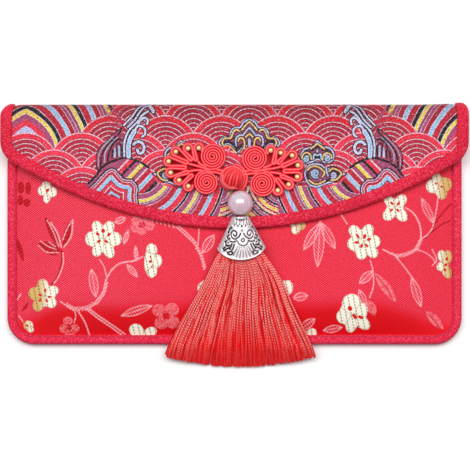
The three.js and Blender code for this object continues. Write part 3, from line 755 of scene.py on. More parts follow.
def brocadePaint():
    b, silk = brocade, brocade["silk"]
    p = Paint("wave brocade")
    signed, v = p.split(p.attribute("draft", "Vector"))[:2]
    u = abs(signed)
    fields = {label: p.attribute(label) for label in brocadeMarks}
    grain = p.noise(1.0, 3.0, p.point(signed * 0.55, v * 0.95, 0.0))
    fleck = p.noise(1.0, 1.0, p.point(signed * 0.5, v * 0.62, 4.0))
    tint = p.noise(0.13, 1.0, p.point(signed, v, 2.0))
    ragged = (grain - 0.5) * b["ragged"]  # the loom's steps leave the bands' edges uneven
    # painted light: the scales are painted paler and pinker towards the flap's lower edge as the satin's sheen,
    # and a deeper red towards the fold
    lower = v.rise(b["brightFrom"], b["brightTo"])
    bright = p.mix(lower, silk["scarlet"], silk["coral"])
    ground = p.mix(lower, silk["garnet"], silk["cherry"])

    def far(du, dv):
        return (du * du + dv * dv).root()

    def ringsAbout(across, centre, uneven):
        return far(across - centre[0], v - centre[1]) + uneven

    def beyond(radius, edge):
        return (radius - edge).rise(-0.3, 0.3)

    def woven(field):
        return field.rise(-0.25, 0.2)

    def scaleAt(row):  # how far inside its sea-wave scale a point lies, and whether that scale is there
        shift = (row % 2.0) * (b["pitch"] / 2)
        column = ((u - shift) / b["pitch"] + 0.5).floor()
        middle = column * b["pitch"] + shift
        top = row * b["rowStep"] + b["rowStart"]
        inside = b["scale"] - far(u - middle, v - top - b["scale"])
        edgeU, slope, edgeV = b["scaleEdge"]
        cornerU, cornerV = b["scaleCorner"]
        there = (top > (middle - edgeU) * slope + edgeV).most((middle > cornerU) * (top > cornerV))
        return inside, there * (inside > 0.0)

    def rings(radius, label):  # each band has a thin white line before it
        period = b[label + "Period"]
        stops, place = [], 0.0
        for name, width in b[label + "Bands"]:
            stops += [(place, silk["white"]), (place + 0.5 / period, silk[name])]
            place += width / period
        return p.ramp(((radius - b[label + "Start"]) / period) % 1.0, stops)

    def steps(depth, label):
        stops = [(place, silk[name]) for place, name in b[label + "Bands"]]
        return p.ramp(depth / b[label + "Depth"], stops)

    row = ((v - b["rowStart"]) / b["rowStep"]).floor()
    near, nearThere = scaleAt(row)
    behind, behindThere = scaleAt(row - 1.0)
    inside = near * nearThere + behind * (1.0 - nearThere)
    isScale = nearThere.most(behindThere)
    fromArc = abs(((inside - b["band"]) / b["arc"] + 0.5) % 1.0 - 0.5) * b["arc"]
    pastBand = inside > b["band"] - 1.0
    arcs = fromArc.fall(0.25, 0.68) * pastBand
    rim = abs(inside - 0.5).fall(0.3, 0.7)
    under = abs(fromArc - 1.1).fall(0.25, 0.7) * pastBand
    floats = ((signed + v * 0.8) * (2 * math.pi / b["floatPitch"])).sine().rise(-0.75, -0.1) * 0.45 + 0.55
    scales = p.coats(
        bright, ((inside - b["band"]).rise(-0.4, 0.4), ground), (under * 0.45, silk["plum"]),
        (arcs.most(rim) * floats * (grain.rise(0.3, 0.55) * 0.45 + 0.55), silk["white"]))

    legRadius = ringsAbout(b["legFold"] - abs(u - b["legFold"]), b["legCentre"], ragged)
    legs = p.coats(
        silk["lavender"], (beyond(legRadius, b["lens"][0]), silk["bright"]),
        (beyond(legRadius, b["lens"][1]), silk["mauve"]),
        (beyond(legRadius, b["lens"][2]), rings(legRadius, "leg")))
    shoreRadius = ringsAbout(u, b["shoreCentre"], ragged)
    fanRadius = ringsAbout(u, b["fanCentre"], ragged * b["fanRagged"])
    isFan = (u < b["fanTo"]) * (fanRadius > b["fanStart"] - 3.0)
    shore = p.mix(isFan, rings(shoreRadius, "shore"), rings(fanRadius, "fan"))
    atShore = fields["shore"].rise(-0.3, 0.3) * (shoreRadius > b["shoreInner"]).most(u < b["shoreTo"])

    pale = p.mix(tint.rise(0.42, 0.56), silk["lavender"], silk["water"])
    waves = p.coats(
        p.mix(grain.rise(0.35, 0.7), silk["rose"], silk["wine"]),
        (fields["wavePale"].rise(-0.3, 0.3), pale), (fields["waveLine"].rise(-0.3, 0.3), silk["black"]))
    hill = steps(u * b["hillSlope"][0] + v * b["hillSlope"][1] - b["hillStart"] + ragged, "hill")
    knoll = steps(fields["knoll"] + ragged * 0.8, "knoll")
    cloud = p.coats(
        steps(fields["cloud"], "cloud"),
        ((fields["curl"].most(fields["gold"]) + 0.9).rise(-0.2, 0.2), silk["black"]),
        (woven(fields["curl"]), pale), (woven(fields["gold"]), silk["gold"]))
    drops = fields["spray"].most(fields["foam"]) + b["outline"]

    shown = {label: fields[label].rise(-0.2, 0.2) for label in ("wave", "hill", "knoll", "arch", "cloud")}
    color = p.coats(
        p.mix(isScale, legs, scales),
        (fields["ghost"].rise(-0.9, -0.4) * 0.6, silk["deep"]),
        (fields["ghost"].rise(-0.2, 0.3) * 0.8, silk["mauve"]),
        (shown["wave"], waves), (shown["hill"], hill), (atShore, shore), (shown["knoll"], knoll),
        (shown["arch"], silk["black"]), (shown["cloud"], cloud),
        (drops.rise(-0.2, 0.2), steps(drops, "spray")),
        (fleck.rise(0.61, 0.68) * 0.3, silk["lavender"]), ((1.0 - fleck).rise(0.6, 0.68) * 0.5, silk["plum"]))
    # the fold lies in shade, and the weft's short floats are uneven in tone
    color = p.mix(v.fall(b["shadeFrom"], b["shadeTo"]) * 0.4, color, silk["shade"], "MULTIPLY")
    tones = [(0.32, (0.4, 0.34, 0.4, 1)), (0.52, (1.0, 1.0, 1.0, 1)), (0.7, (1.35, 1.45, 1.45, 1))]
    color = p.mix(0.85, color, p.ramp(grain, tones, "LINEAR"), "MULTIPLY")
    ribs = (v * b["ribs"]).sine() * 0.5 + 0.5
    height = ribs * 0.35 + grain * 0.9 + arcs * isScale * 0.5
    return p.finish(color, grain * 0.2 + 0.42, height, 0.16, Specular_IOR_Level=0.3, Metallic=0.06)


def makeFlap():
    b, f = brocade, flap
    inset = f["halfWidth"] - pouch["edgeInset"]
    x = np.linspace(-inset, inset, b["columns"])
    cut = np.clip((np.abs(x) - f["cornerFrom"]) / f["cornerWidth"], 0, 1) ** 2
    low = bowY(x) + f["underTape"] + f["cornerCut"] * cut
    share = np.linspace(0, 1, b["frontRows"] + 1)[:, None]
    over = np.linspace(0, 1, b["rows"] - b["frontRows"] + 1)[1:, None]
    run = np.concatenate([low + (foldY(x) - low) * share, foldY(x) + (flapEnd(x) - foldY(x)) * over])
    wide = np.broadcast_to(x, run.shape)
    half = pouch["cloth"] / 2
    at = toDraft(wide, run).reshape(-1, 2) - (draft["mirrorX"], 0)
    fields = brocadeFields(at)
    proud = sum(smooth((fields[label] + 0.6) / 1.2) for label in ("cloud", "spray", "foam", "hill"))
    angle = np.clip((run - foldY(wide)) / foldRadius(wide), 0, np.pi)
    puff = f["foldPuff"] * np.sin(angle) * smooth((inset - np.abs(wide)) / f["puffRun"])
    outer = flapPoint(wide, run, half + puff + (b["relief"] * np.minimum(proud, 1)).reshape(run.shape))
    inner = flapPoint(wide[::b["every"]], run[::b["every"]], -half)
    mesh = clothShell("flap_cloth", outer, inner, b["every"], drawnMarks(at, fields))
    made = addObject("flap_cloth", mesh, brocadePaint())
    dress(made, "wave_silk", "flap")
    length = float((flapEnd(x) - low).max()) * mm
    area = float((flapEnd(x) - low).mean() * 2 * inset) * mm * mm
    print("flap cloth:", len(mesh.polygons), "faces, flat", round(2 * inset), "x", round(length / mm), "mm")


makeFlap()


# pouch silk: plum sprays woven on coral satin

sprig = {
    "columns": 481, "denseRows": 150, "rows": 168, "every": 7, "backColumns": 301, "backRows": 140,
    "relief": 0.13, "full": 0.7, "heart": 1.45, "goldRun": 13.0, "petalEdge": (0.8, 0.4), "pinkHeart": 0.66,
    "leafEdge": 0.4, "leafRib": 0.35, "rung": 0.55, "rungLean": 52, "flapOver": 4.0, "denseTo": 30.0,
    "twill": 1.8, "tiePitch": 5.4, "ragged": 1.3, "litFrom": 70.0, "litTo": 200.0,
    "footFrom": 297.0, "footTo": 316.0, "rightDip": (370.0, 465.0, 24.0), "leftDip": (18.0, 70.0, 14.0),
    "satin": {
        "ground": "#fa042c", "patch": "#ff0c38", "twillLight": "#ff80a0", "twillDark": "#cc041e",
        "grainDark": "#c0081e", "grainLight": "#ff6680", "fuzzLight": "#ff6880", "fuzzDark": "#b8041a",
        "foot": "#e0020d", "ivory": "#fffae8", "gold": "#deb46a", "cream": "#ead0a4", "tie": "#6c5a38",
        "seam": "#a8865a", "edge": "#b08a72", "dark": "#b8000c", "rib": "#f8506c", "pink": "#ff98a2",
        "hatch": "#ff9cac", "line": "#ffb8c0", "stamen": "#de2018",
    },
}
# middle, fill, gold from the left (-1) or right (1), petals and stamens (x, y, along, across)
ivoryFlowers = [
    ((46.6, 191), 4, 0, [(41.6, 190.3, 4, 5), (46.3, 185.4, 4.6, 4.6), (52.4, 192.2, 4, 5),
     (46.3, 198.7, 4.4, 3.2)], [(47.2, 190.3, 2.2, 1.4)]),
    ((103.2, 238.8), 9.4, 0, [(97.2, 226.8, 6.4, 5), (109.2, 226.8, 6.4, 5), (116.2, 239, 5.8, 6.6),
     (109.2, 251.8, 7, 5), (97.6, 250.4, 6.8, 5), (90.4, 239, 5.4, 7.2)], [(103.2, 230.8, 2.2, 1.9),
     (97.7, 234, 2.2, 1.4), (109, 234.5, 2.2, 1.4), (99, 241.3, 2.2, 1.4), (106.3, 241.5, 2.4, 1.2)]),
    ((43.4, 295.6), 8, -1, [(42.1, 285.2, 6.2, 5.6), (53, 291, 5.4, 5), (50.8, 303, 5.4, 5.2),
     (37.6, 305.6, 6.4, 5.4), (33, 293.6, 5.6, 6)], [(44.7, 290.3, 1.9, 1.2), (39.5, 295, 1.9, 1.2),
     (49, 297.1, 1.9, 1.2), (46.3, 300.8, 1.9, 1.2), (39.5, 300.3, 1.9, 1.2)]),
    ((362.8, 242.2), 9, 0, [(353.8, 230.4, 5.8, 5.2), (368.3, 229.8, 6, 5.2), (375.2, 241.4, 5.4, 6),
     (373.2, 253, 5.6, 5), (361.4, 254, 5.8, 5.4), (352.2, 244.2, 5.2, 6)], [(357.6, 236, 3, 1.2),
     (364.7, 236.4, 2.6, 1.6), (369, 239.4, 2.4, 1.4), (356.6, 242.4, 2.4, 1.4), (361.6, 246, 2.2, 1.4),
     (366.4, 245.4, 2.4, 1.2)]),
    ((395.2, 207.4), 6, 0, [(389, 200.4, 6, 4.6), (401.6, 200, 6, 5), (389, 214.4, 7, 5.4),
     (401.6, 215, 7.4, 5.2)], [(391.8, 203.3, 2.4, 1.2), (398.4, 203.7, 2.4, 1.2), (391.4, 210.1, 2.2, 1.1),
     (397.9, 210.3, 2.4, 1.2)]),
    ((440, 185.4), 6.4, 1, [(431.8, 186.2, 5.4, 6.4), (437, 177, 5.4, 4.2), (442.6, 193.4, 6, 5.2),
     (447.4, 184, 5.4, 6.6)], [(436.6, 183.4, 1.8, 1.1), (442.4, 186.6, 1.8, 1.1)]),
    ((298, 225.6), 3, 1, [(295.6, 229.6, 4.4, 4.2), (301.2, 225.8, 4, 4), (292.4, 223.6, 3, 3)], []),
    ((445, 265.4), 3.4, 1, [(442.8, 255.6, 5.6, 4), (441.6, 267, 4, 4.2), (447.8, 257.4, 7, 5),
     (448, 272.6, 6.4, 4.2)], [(447.6, 259, 1.9, 1.3), (446.6, 264.8, 1.9, 1.3), (445.8, 270, 1.9, 1.3)]),
    ((353, 314), 9.6, 0, [(351.6, 303, 9.4, 9.4), (342.6, 317, 6, 7), (351.4, 326, 7.4, 5.2),
     (363.4, 323.4, 8.6, 5.4), (361.8, 309.4, 6, 7)], [(350, 308.4, 2.6, 2.2), (354.8, 316.6, 3.4, 1.7),
     (361, 317.4, 3, 1.7)]),
    ((142.6, 337), 3, 0, [(135.6, 330.6, 7, 6.4), (150.2, 332.6, 6.6, 4.8)], []),
    ((309, 339), 4, 0, [(312, 333.8, 5.2, 4.8), (304.4, 334.6, 4.6, 4)], []),
    ((207.4, 288), 6, 0, [(203.4, 288.8, 5.6, 6.6)], [(204.4, 288, 1.8, 1.0)]),
    ((285, 287.6), 5, 0, [(288, 287.8, 4.6, 7.2)], []),
    ((152.6, 260.4), 5, 0, [(151.6, 249.4, 6.2, 5.2), (150.0, 260.2, 5.2, 14.6), (157.0, 261.4, 4.6, 6.6),
     (151.8, 271.6, 6.4, 5)], [(150.4, 261.4, 1.8, 1.3), (150.6, 257, 1.3, 0.9), (151.6, 266.8, 1.2, 0.8)]),
    ((27.2, 326.6), 3, -1, [(27.4, 325.6, 4, 4.6), (29.4, 329.6, 3.4, 3)], [(26.4, 326, 1.6, 1.1)]),
]
pinkFlowers = [  # middle, petals (x, y, radius)
    ((166, 316), [(158.9, 310.4, 6), (172, 309.6, 6.3), (161, 323.2, 6), (172.6, 322.4, 6)]),
    ((68.4, 328), [(67.4, 321.2, 4), (63.2, 329, 4), (69, 333.6, 4), (74.4, 329, 4)]),
    ((142, 225), [(137, 221, 5), (146, 218.6, 4.6), (149.6, 226, 4.4), (141.6, 230.4, 4.2),
     (134.6, 228.6, 3.6)]),
]
darkFlower = [  # x, y, half width, half height
    (20, 187.4, 3.4, 6.4), (27.4, 188, 3, 6.4), (19.4, 200.4, 3, 5.4), (26.2, 202.6, 3.6, 4.4),
]
hatchedLeaves = [  # base, tip, width
    ((95.8, 297), (91.4, 269), 8.4), ((115, 222.6), (125.4, 218), 6), ((124, 244), (128.4, 230), 4.4),
    ((202.6, 253), (214, 235), 9), ((127, 264.6), (137.4, 276.6), 5.4), ((152, 305.6), (121, 316), 8),
    ((320, 223), (303.6, 250), 8.6), ((320.4, 221), (317.4, 267), 10), ((321.4, 223), (335, 248.6), 8.6),
    ((293.4, 298), (307.6, 295.4), 8), ((301, 329.6), (315, 319), 8), ((342.6, 327.6), (323.6, 331), 7),
    ((433.8, 223), (422, 198), 7.4), ((412, 277), (421.4, 307), 8.4), ((372.7, 271), (359.6, 283.4), 8),
    ((359, 289.6), (366, 306.4), 6.4), ((136.4, 261), (135.6, 246), 3.6),
]
filledLeaves = [
    ((374.6, 272.4), (396.6, 302.6), 9.6), ((426.4, 311), (444.8, 330), 9), ((368, 300), (375.4, 316.6), 9),
]
darkLeaves = [
    ((59.6, 248), (44.2, 216), 7.4), ((62.8, 248), (72.2, 218.6), 8), ((60.6, 250.6), (36.4, 244), 11.6),
    ((22.6, 262.4), (16, 238), 5.6), ((59.6, 251.6), (48, 253.4), 6.6), ((28.4, 301.6), (20.4, 313), 3.2),
]
# pale threads that catch the light along the dark leaves, and the stems: points, half width
paleEdges = [
    ([(61, 247), (57.4, 234), (50.4, 222.6)], 0.7), ([(58.4, 246.6), (53.6, 233.4), (46.6, 220)], 0.5),
    ([(63.6, 247.4), (71, 236), (72.8, 220)], 0.7), ([(62.6, 240), (66.4, 230), (71.4, 221)], 0.5),
    ([(58, 252.6), (46, 252), (37.4, 245)], 0.5), ([(56, 249.6), (47, 246), (40, 241)], 0.5),
    ([(55, 246.6), (48, 241.6)], 0.5),
    ([(62.8, 253), (62.9, 264), (58.4, 276.4), (53.6, 283.6)], 0.6),
]
pinkStems = [
    ([(94.7, 303), (103, 292), (106.2, 279.6), (112.6, 269), (120, 263.4), (126, 262), (135, 260.6),
     (142.6, 256.8)], 0.75),
    ([(96.6, 304.4), (104.4, 293.6), (107.6, 282)], 0.5), ([(60, 301.4), (66.4, 306), (74, 310.6)], 0.6),
    ([(99.6, 259.4), (104.2, 267), (106.3, 276)], 0.5),
    ([(86.4, 309.4), (96.4, 317.6), (109, 326.4), (121, 335.4)], 0.6),
    ([(89, 308.6), (98.6, 316), (111, 324.6), (124.6, 334.6)], 0.6),
    ([(74.4, 311), (75.4, 316.6), (73.6, 323)], 0.5), ([(77.9, 311.6), (84.2, 321.8), (88.6, 335)], 0.65),
    ([(176, 226.6), (186, 235.6), (195.2, 244.8), (200.8, 255), (204.6, 269)], 0.6),
    ([(178.4, 225.6), (187.6, 233.6), (196.6, 243)], 0.5), ([(199, 228.6), (198.6, 238), (198, 246)], 0.5),
    ([(415.4, 249.6), (421, 239), (420.2, 225.4), (414.2, 213.8), (405.6, 207.6)], 0.75),
    ([(383, 249.4), (391, 253.6), (397, 256)], 0.7),
    ([(421, 239.4), (429.2, 233.4), (433.8, 225.4), (437.3, 208), (438.6, 198)], 0.55),
    ([(392.3, 253), (402.7, 264.6), (412, 277)], 0.6),
    ([(415.4, 249.6), (424.6, 252), (432.7, 257.7), (436, 263)], 0.55),
    ([(432.7, 249.4), (437.4, 260), (432.6, 266)], 0.55),
    ([(370.2, 260.4), (372.8, 270.6), (373.4, 285.4), (369.6, 297.4)], 0.55),
    ([(341, 214.6), (347, 223.8)], 0.6), ([(16, 300), (20, 294)], 0.6), ([(17.6, 316), (22, 322)], 0.5),
]
darkStems = [
    ([(61.4, 250), (61.6, 262), (57, 276.6), (51.4, 284.6)], 0.95),
    ([(433.8, 225.4), (440.7, 216), (452, 203.6)], 1.0), ([(431.5, 232.3), (440.7, 225.4), (451, 220.4)], 1.0),
    ([(426, 238.6), (433, 228.6), (436.4, 214)], 0.8), ([(376.6, 275.6), (386.6, 288), (392.6, 299)], 0.6),
    ([(428.6, 314.6), (435.4, 321), (442, 330)], 0.6),
]
ladders = [  # points, width, step: satin stitches set across a stem
    ([(66, 304.6), (74, 308.6), (86.3, 308), (95, 303)], 4.6, 2.9),
    ([(396, 256), (405, 254.6), (416, 249.4), (421, 240)], 4.2, 2.7),
    ([(150, 219), (164.7, 223.6), (177, 227)], 4.0, 4.4), ([(196, 246), (201.4, 256), (204.6, 268)], 3.4, 2.8),
]
sprigMarks = ("ivory", "stamen", "pink", "hatch", "line", "dark", "seam", "gold")


def ladder(points, width, step):  # short slanted strokes across a path
    path = flow(points, 12)
    length = runLength(path)

    def reached(far):
        return [np.interp(min(far, length[-1]), length, path[:, i]) for i in (0, 1)]

    strokes = []
    for far in np.arange(step / 2, length[-1], step):
        here, ahead = reached(far), reached(far + 0.5)
        bearing = math.atan2(ahead[1] - here[1], ahead[0] - here[0]) + math.radians(sprig["rungLean"])
        strokes.append([polar(here, bearing, end * width / 2) for end in (-1, 1)])
    return strokes


def sprigFields(at):
    s = sprig
    fields = blankFields(sprigMarks, len(at))
    fields["gold"][:] = 0
    for middle, fill, gold, petals, stamens in ivoryFlowers:
        for label, marks, more in (("ivory", petals, s["full"]), ("stamen", stamens, 0.0)):
            for x, y, along, across in marks:
                far = (x - middle[0], y - middle[1])
                place = (x - far[0] * more * 0.1, y - far[1] * more * 0.1)
                drawOval(fields[label], at, place, along + more, across + more * 0.6,
                         math.atan2(far[1], far[0]), fields["seam"] if more else None)
        if gold:
            share = smooth(0.5 + gold * (at[:, 0] - middle[0]) / s["goldRun"])
            close = np.hypot(*(at - middle).T) < 2 * s["goldRun"]
            fields["gold"] = np.maximum(fields["gold"], share * close)
    fields["seam"] = np.minimum(fields["ivory"] - fields["seam"], pen["reach"])
    for middle, fill, *rest in ivoryFlowers:
        drawOval(fields["ivory"], at, middle, fill * s["heart"], fill * s["heart"])
    for middle, petals in pinkFlowers:
        for x, y, radius in petals:
            drawOval(fields["pink"], at, (x, y), *[radius + edge for edge in s["petalEdge"]])
            heart = (x + (middle[0] - x) * s["pinkHeart"], y + (middle[1] - y) * s["pinkHeart"])
            drawOval(fields["dark"], at, heart, 1.4, 1.0, math.radians(40))
    for x, y, wide, tall in darkFlower:
        drawOval(fields["dark"], at, (x, y), wide, tall)
    for label, leaves in (("hatch", hatchedLeaves), ("pink", filledLeaves), ("dark", darkLeaves)):
        for leaf in leaves:
            drawPatch(fields[label], at, leafOutline(*leaf))
    for base, tip, width in hatchedLeaves:
        outline = leafOutline(base, tip, width)
        drawStroke(fields["line"], at, np.concatenate([outline, outline[:1]]), s["leafEdge"])
        drawStroke(fields["line"], at, [base, tip], s["leafRib"])
    for label, lines in (("line", pinkStems), ("line", paleEdges), ("dark", darkStems)):
        for points, half in lines:
            drawStroke(fields[label], at, flow(points, 6), half)
    for points, width, step in ladders:
        for stroke in ladder(points, width, step):
            drawStroke(fields["line"], at, stroke, s["rung"])
    return fields


def sprigPaint():
    s, satin = sprig, sprig["satin"]
    p = Paint("sprigged satin")
    x, y = p.split(p.attribute("draft", "Vector"))[:2]
    fields = {label: p.attribute(label) for label in sprigMarks}
    grain = p.noise(1.1, 3.0, p.point(x, y, 0.0))
    fuzz = p.noise(2.3, 1.0, p.point(x, y, 3.0))
    lumps = p.noise(0.5, 2.0, p.point(x, y, 7.0)).rise(0.42, 0.52)
    patchy = p.noise(28.0)
    ragged = (grain - 0.5) * s["ragged"]  # the loom's steps leave the motifs' edges uneven
    twill = (x * 0.6 + y * 0.8 + (grain - 0.5) * 1.1).wave(s["twill"])
    # painted shade: towards the foot, where the cloth turns down away from the light, the twill's sheen fades
    # and a deeper red is painted over the ground; painted light: the twill is paler on the left
    (rightFrom, rightTo, rightDip), (leftFrom, leftTo, leftDip) = s["rightDip"], s["leftDip"]
    dip = x.rise(rightFrom, rightTo) * rightDip + x.fall(leftFrom, leftTo) * leftDip
    foot = (y + (patchy - 0.5) * 9.0 - dip).rise(s["footFrom"], s["footTo"])
    lit = x.fall(s["litFrom"], s["litTo"])
    ground = p.coats(
        p.mix(patchy, satin["ground"], satin["patch"]),
        (twill.rise(0.45, 1.0) * (0.3 + lit * 0.26 - foot * 0.28), satin["twillLight"]),
        ((1.0 - twill).rise(0.35, 0.95) * (0.75 - foot * 0.4), satin["twillDark"]),
        (grain.rise(0.5, 0.74) * (0.75 - foot * 0.4), satin["grainDark"]),
        ((1.0 - grain).rise(0.54, 0.74) * (0.55 - foot * 0.42), satin["grainLight"]),
        ((1.0 - fuzz).rise(0.5, 0.8) * (0.5 - foot * 0.35), satin["fuzzLight"]),
        (fuzz.rise(0.5, 0.8) * (0.8 - foot * 0.4), satin["fuzzDark"]), (foot * 0.88, satin["foot"]))

    def woven(label, share=1.0, low=-0.2, high=0.3):
        return (fields[label] + ragged * share).rise(low, high)

    # ivory silk, tied down by dark threads
    lean = x - (y - 250.0) * 0.2 + (grain - 0.5) * 1.2
    tie = abs((lean / s["tiePitch"] - 0.2) % 1.0 - 0.5).fall(0.06, 0.13)
    tie = tie * ((y * 1.9 + x * 0.9 + grain * 3.0).sine() > -0.45)
    ivory = p.coats(
        p.mix(fields["gold"], satin["ivory"], satin["gold"]), (grain.rise(0.5, 0.75) * 0.4, satin["cream"]),
        (tie * 0.8, satin["tie"]), ((1.0 - woven("seam", 0.5, 0.5, 1.3)) * 0.45, satin["seam"]))
    ivory = p.mix(woven("ivory", 1.0, 0.5, 1.4), p.mix(0.35, ivory, satin["edge"]), ivory)
    isIvory = woven("ivory")
    isPink = woven("pink") * (1.0 - woven("dark", 0.4, -0.3, 0.2))
    hatching = ((x * 0.8 - y * 0.6) * 2.6 + (grain - 0.5) * 3.0).sine().rise(0.1, 0.7)
    rising = x * 0.5 + y * 0.86
    ribbing = (rising * 1.9 + (grain - 0.5) * 4.0).sine().rise(0.7, 1.0)
    stitched = (rising * 2.1).sine().rise(-0.7, 0.2) * 0.4 + 0.5
    color = p.coats(
        ground, (woven("dark", 0.6) * 0.95, satin["dark"]),
        (woven("dark", 1.0, -0.6, 0.1) * ribbing * 0.35, satin["rib"]),
        (isPink * (0.16 + lumps * (0.32 + hatching * 0.2)), satin["pink"]),
        (woven("hatch") * hatching * 0.5, satin["hatch"]),
        (woven("line", 0.6, -0.45, 0.2) * stitched, satin["line"]), (isIvory, ivory),
        (woven("stamen", 0.4, -0.25, 0.15), satin["stamen"]))
    height = twill * 0.7 + grain * 0.5 + isIvory * 0.4 - tie * isIvory * 0.6
    roughness = grain * 0.12 + 0.4 + isIvory * 0.12
    return p.finish(color, roughness, height, 0.12, Specular_IOR_Level=0.16, Metallic=0.05)


sprigSilk = sprigPaint()


def footLine(x):  # where a pouch panel ends, with the foot's rounded corners
    corner = pouch["corner"] - pouch["edgeInset"]
    over = np.clip(np.abs(x) - pouch["halfWidth"] + pouch["corner"], 0, corner)
    return pouch["edgeInset"] - pouch["halfHeight"] + corner - np.sqrt(corner ** 2 - over ** 2)


def makePanel(name, node, x, y, inFront):
    every, relief = sprig["every"], sprig["relief"]
    wide = np.broadcast_to(x, y.shape)
    at = toDraft(wide if inFront else -wide, y).reshape(-1, 2)
    fields = sprigFields(at)
    if inFront:
        lines = np.maximum(fields["line"], fields["pink"])
        proud = relief * smooth((fields["ivory"] + 0.4) / 1.2) + 0.5 * relief * smooth((lines + 0.3) / 0.8)
        lowZ = frontZ(wide, y)
        outerZ, innerZ = lowZ + pouch["cloth"] + proud.reshape(y.shape), lowZ
    else:
        outerZ = backZ(wide, y)
        innerZ = outerZ + pouch["cloth"]
    outer, inner = [np.stack([wide, y, z], -1) for z in (outerZ, innerZ)]
    mesh = clothShell(name, outer, inner[::every], every, drawnMarks(at, fields))
    made = addObject(name, mesh, sprigSilk)
    dress(made, "floral_silk", node)


def makePouchCloth():
    s = sprig
    edge = pouch["halfWidth"] - pouch["edgeInset"]
    x = np.linspace(-edge, edge, s["columns"])
    low, turn = footLine(x), np.minimum(bowY(x) + s["flapOver"], s["denseTo"])
    dense = low + (turn - low) * np.linspace(0, 1, s["denseRows"] + 1)[:, None]
    rest = turn + (pouch["mouthY"] - turn) * np.linspace(0, 1, s["rows"] - s["denseRows"] + 1)[1:, None]
    makePanel("pocket_cloth", "front_panel", x, np.concatenate([dense, rest]), True)
    x = np.linspace(-edge, edge, s["backColumns"])
    low = footLine(x)
    y = low + (pouch["seamY"] - low) * np.linspace(0, 1, s["backRows"] + 1)[:, None]
    makePanel("back_cloth", "back_panel", x, y, False)


makePouchCloth()


# binding tapes

tapes = {
    "step": 0.8, "bulge": 0.16, "twill": 1.25, "thread": 0.42, "bend": 1.5, "bendSteps": 13, "flatSteps": 6,
    "flatEnd": 0.35, "pucker": 0.07, "puckerLength": 2.7, "swellLength": 4.3, "swell": 0.6,
    "cornerSteps": 12, "bowSteps": 60, "footSteps": 16,
}


def tapePaint(name, dark, light, dotted):
    p = Paint(name)
    along, across = p.attribute("along"), p.attribute("across")
    grain, broad, speck = p.noise(900.0), p.noise(70.0), p.noise(1500.0, 1.0)
    rib = (along + across * 0.9 + (grain - 0.5) * 0.9).wave(tapes["twill"])
    thread = (along * 0.9 - across).wave(tapes["thread"])
    color = p.coats(
        p.mix(rib * 0.4 + 0.34, dark, light), (thread * 0.08 + speck.rise(0.53, 0.68) * 0.42, "#ff7694"),
        ((1.0 - speck).rise(0.53, 0.68) * 0.5, "#a00224"), (broad.rise(0.35, 0.75) * 0.3, dark))
    # painted shade: dark dots in step with the ribs where the tape bends round the edge
    if dotted:  # the ribs show dark where the tape bends round the edge
        dots = ((along + grain * 0.3) * (2 * math.pi / tapes["twill"])).sine().rise(-0.2, 0.5)
        color = p.mix(p.attribute("inward").fall(0.35, 1.0) * dots * 0.7, color, "#84042a")
    height = rib * 0.45 + thread * 0.25 + grain * 0.5
    return p.finish(color, grain * 0.2 + 0.55, height, 0.12, Specular_IOR_Level=0.18)


def tapeSection(width, height):  # inward, lift round a tape folded over an edge
    half, tape, bent = height / 2, pouch["tape"], tapes["bend"]
    turn = np.radians(np.linspace(-90, 90, tapes["bendSteps"]))
    bend = np.stack([bent * (1 - np.cos(turn)), half * np.sin(turn)], 1)
    flat = np.linspace(bent, width - tapes["flatEnd"], tapes["flatSteps"])[1:]
    top = np.stack([flat, half + tapes["bulge"] * np.sin(np.pi * (flat - bent) / (width - bent))], 1)
    lip = [(width - 0.08, half - 0.22), (width, half - tape / 2), (width - 0.15, half - tape + 0.1)]
    inside = [(width - 0.8, half - tape), (tape, half - tape)]
    upper = np.concatenate([top, lip, inside])
    return np.concatenate([bend, upper, (upper * (1, -1))[::-1]])


def withInward(path):  # x, run, and which way is inward
    along = np.gradient(path, axis=0)
    along /= np.linalg.norm(along, axis=1)[:, None]
    return np.column_stack([path, -along[:, 1], along[:, 0]])


def makeTape(name, node, path, width, height, onto, material):
    section = tapeSection(width, height)
    stations = withInward(evenly(path, tapes["step"]))
    length, girth = runLength(stations[:, :2]), runLength(section)
    wave = (np.sin(length * 2 * np.pi / tapes["puckerLength"])
            + tapes["swell"] * np.sin(length * 2 * np.pi / tapes["swellLength"] + 1.0))
    inward, lift = section.T
    puffed = lift + np.sign(lift) * tapes["pucker"] * wave[:, None] * smooth(inward / 2.0)
    x, run, inX, inRun = stations.T[..., None]
    rings = onto(x + inX * inward, run + inRun * inward, puffed)
    rings[..., 2] = np.maximum(rings[..., 2], 0.0)  # it lies on the table
    marks = {"along": np.repeat(length, len(section)), "across": np.tile(girth, len(length)),
             "inward": np.tile(inward, len(length))}
    dress(loft(name, rings, material, marks), "binding_tape", node)


def flapEdge():
    bowEnd = flap["halfWidth"] - flap["cornerRun"]
    foot, tip = np.array([bowEnd, bowY(bowEnd)]), np.array([flap["halfWidth"], bowY(flap["halfWidth"])])
    head = tip + (0, flap["cornerRise"])
    t = np.linspace(0, 1, tapes["cornerSteps"])[:, None]
    corner = foot * (1 - t) ** 2 + 2 * tip * t * (1 - t) + head * t ** 2
    bow = np.linspace(0, bowEnd, tapes["bowSteps"])[:-1]
    end = (flap["halfWidth"], float(flapEnd(flap["halfWidth"])))
    right = np.concatenate([np.stack([bow, bowY(bow)], 1), corner, [end]])
    return np.concatenate([right[:0:-1] * (-1, 1), right])


def pouchEdge(inset, topY):
    turn = np.radians(np.linspace(0, 90, tapes["footSteps"]))
    corner, edge = pouch["corner"], pouch["halfWidth"]
    right = np.stack([edge - corner + (corner - inset) * np.cos(turn),
                      corner - pouch["halfHeight"] - (corner - inset) * np.sin(turn)], 1)
    right = np.concatenate([[(edge - inset, topY)], right])
    return np.concatenate([right, (right * (-1, 1))[::-1]])[::-1]


def ontoPouch(x, y, lift):
    return np.stack([x, y, pouch["edge"] / 2 + lift], -1)


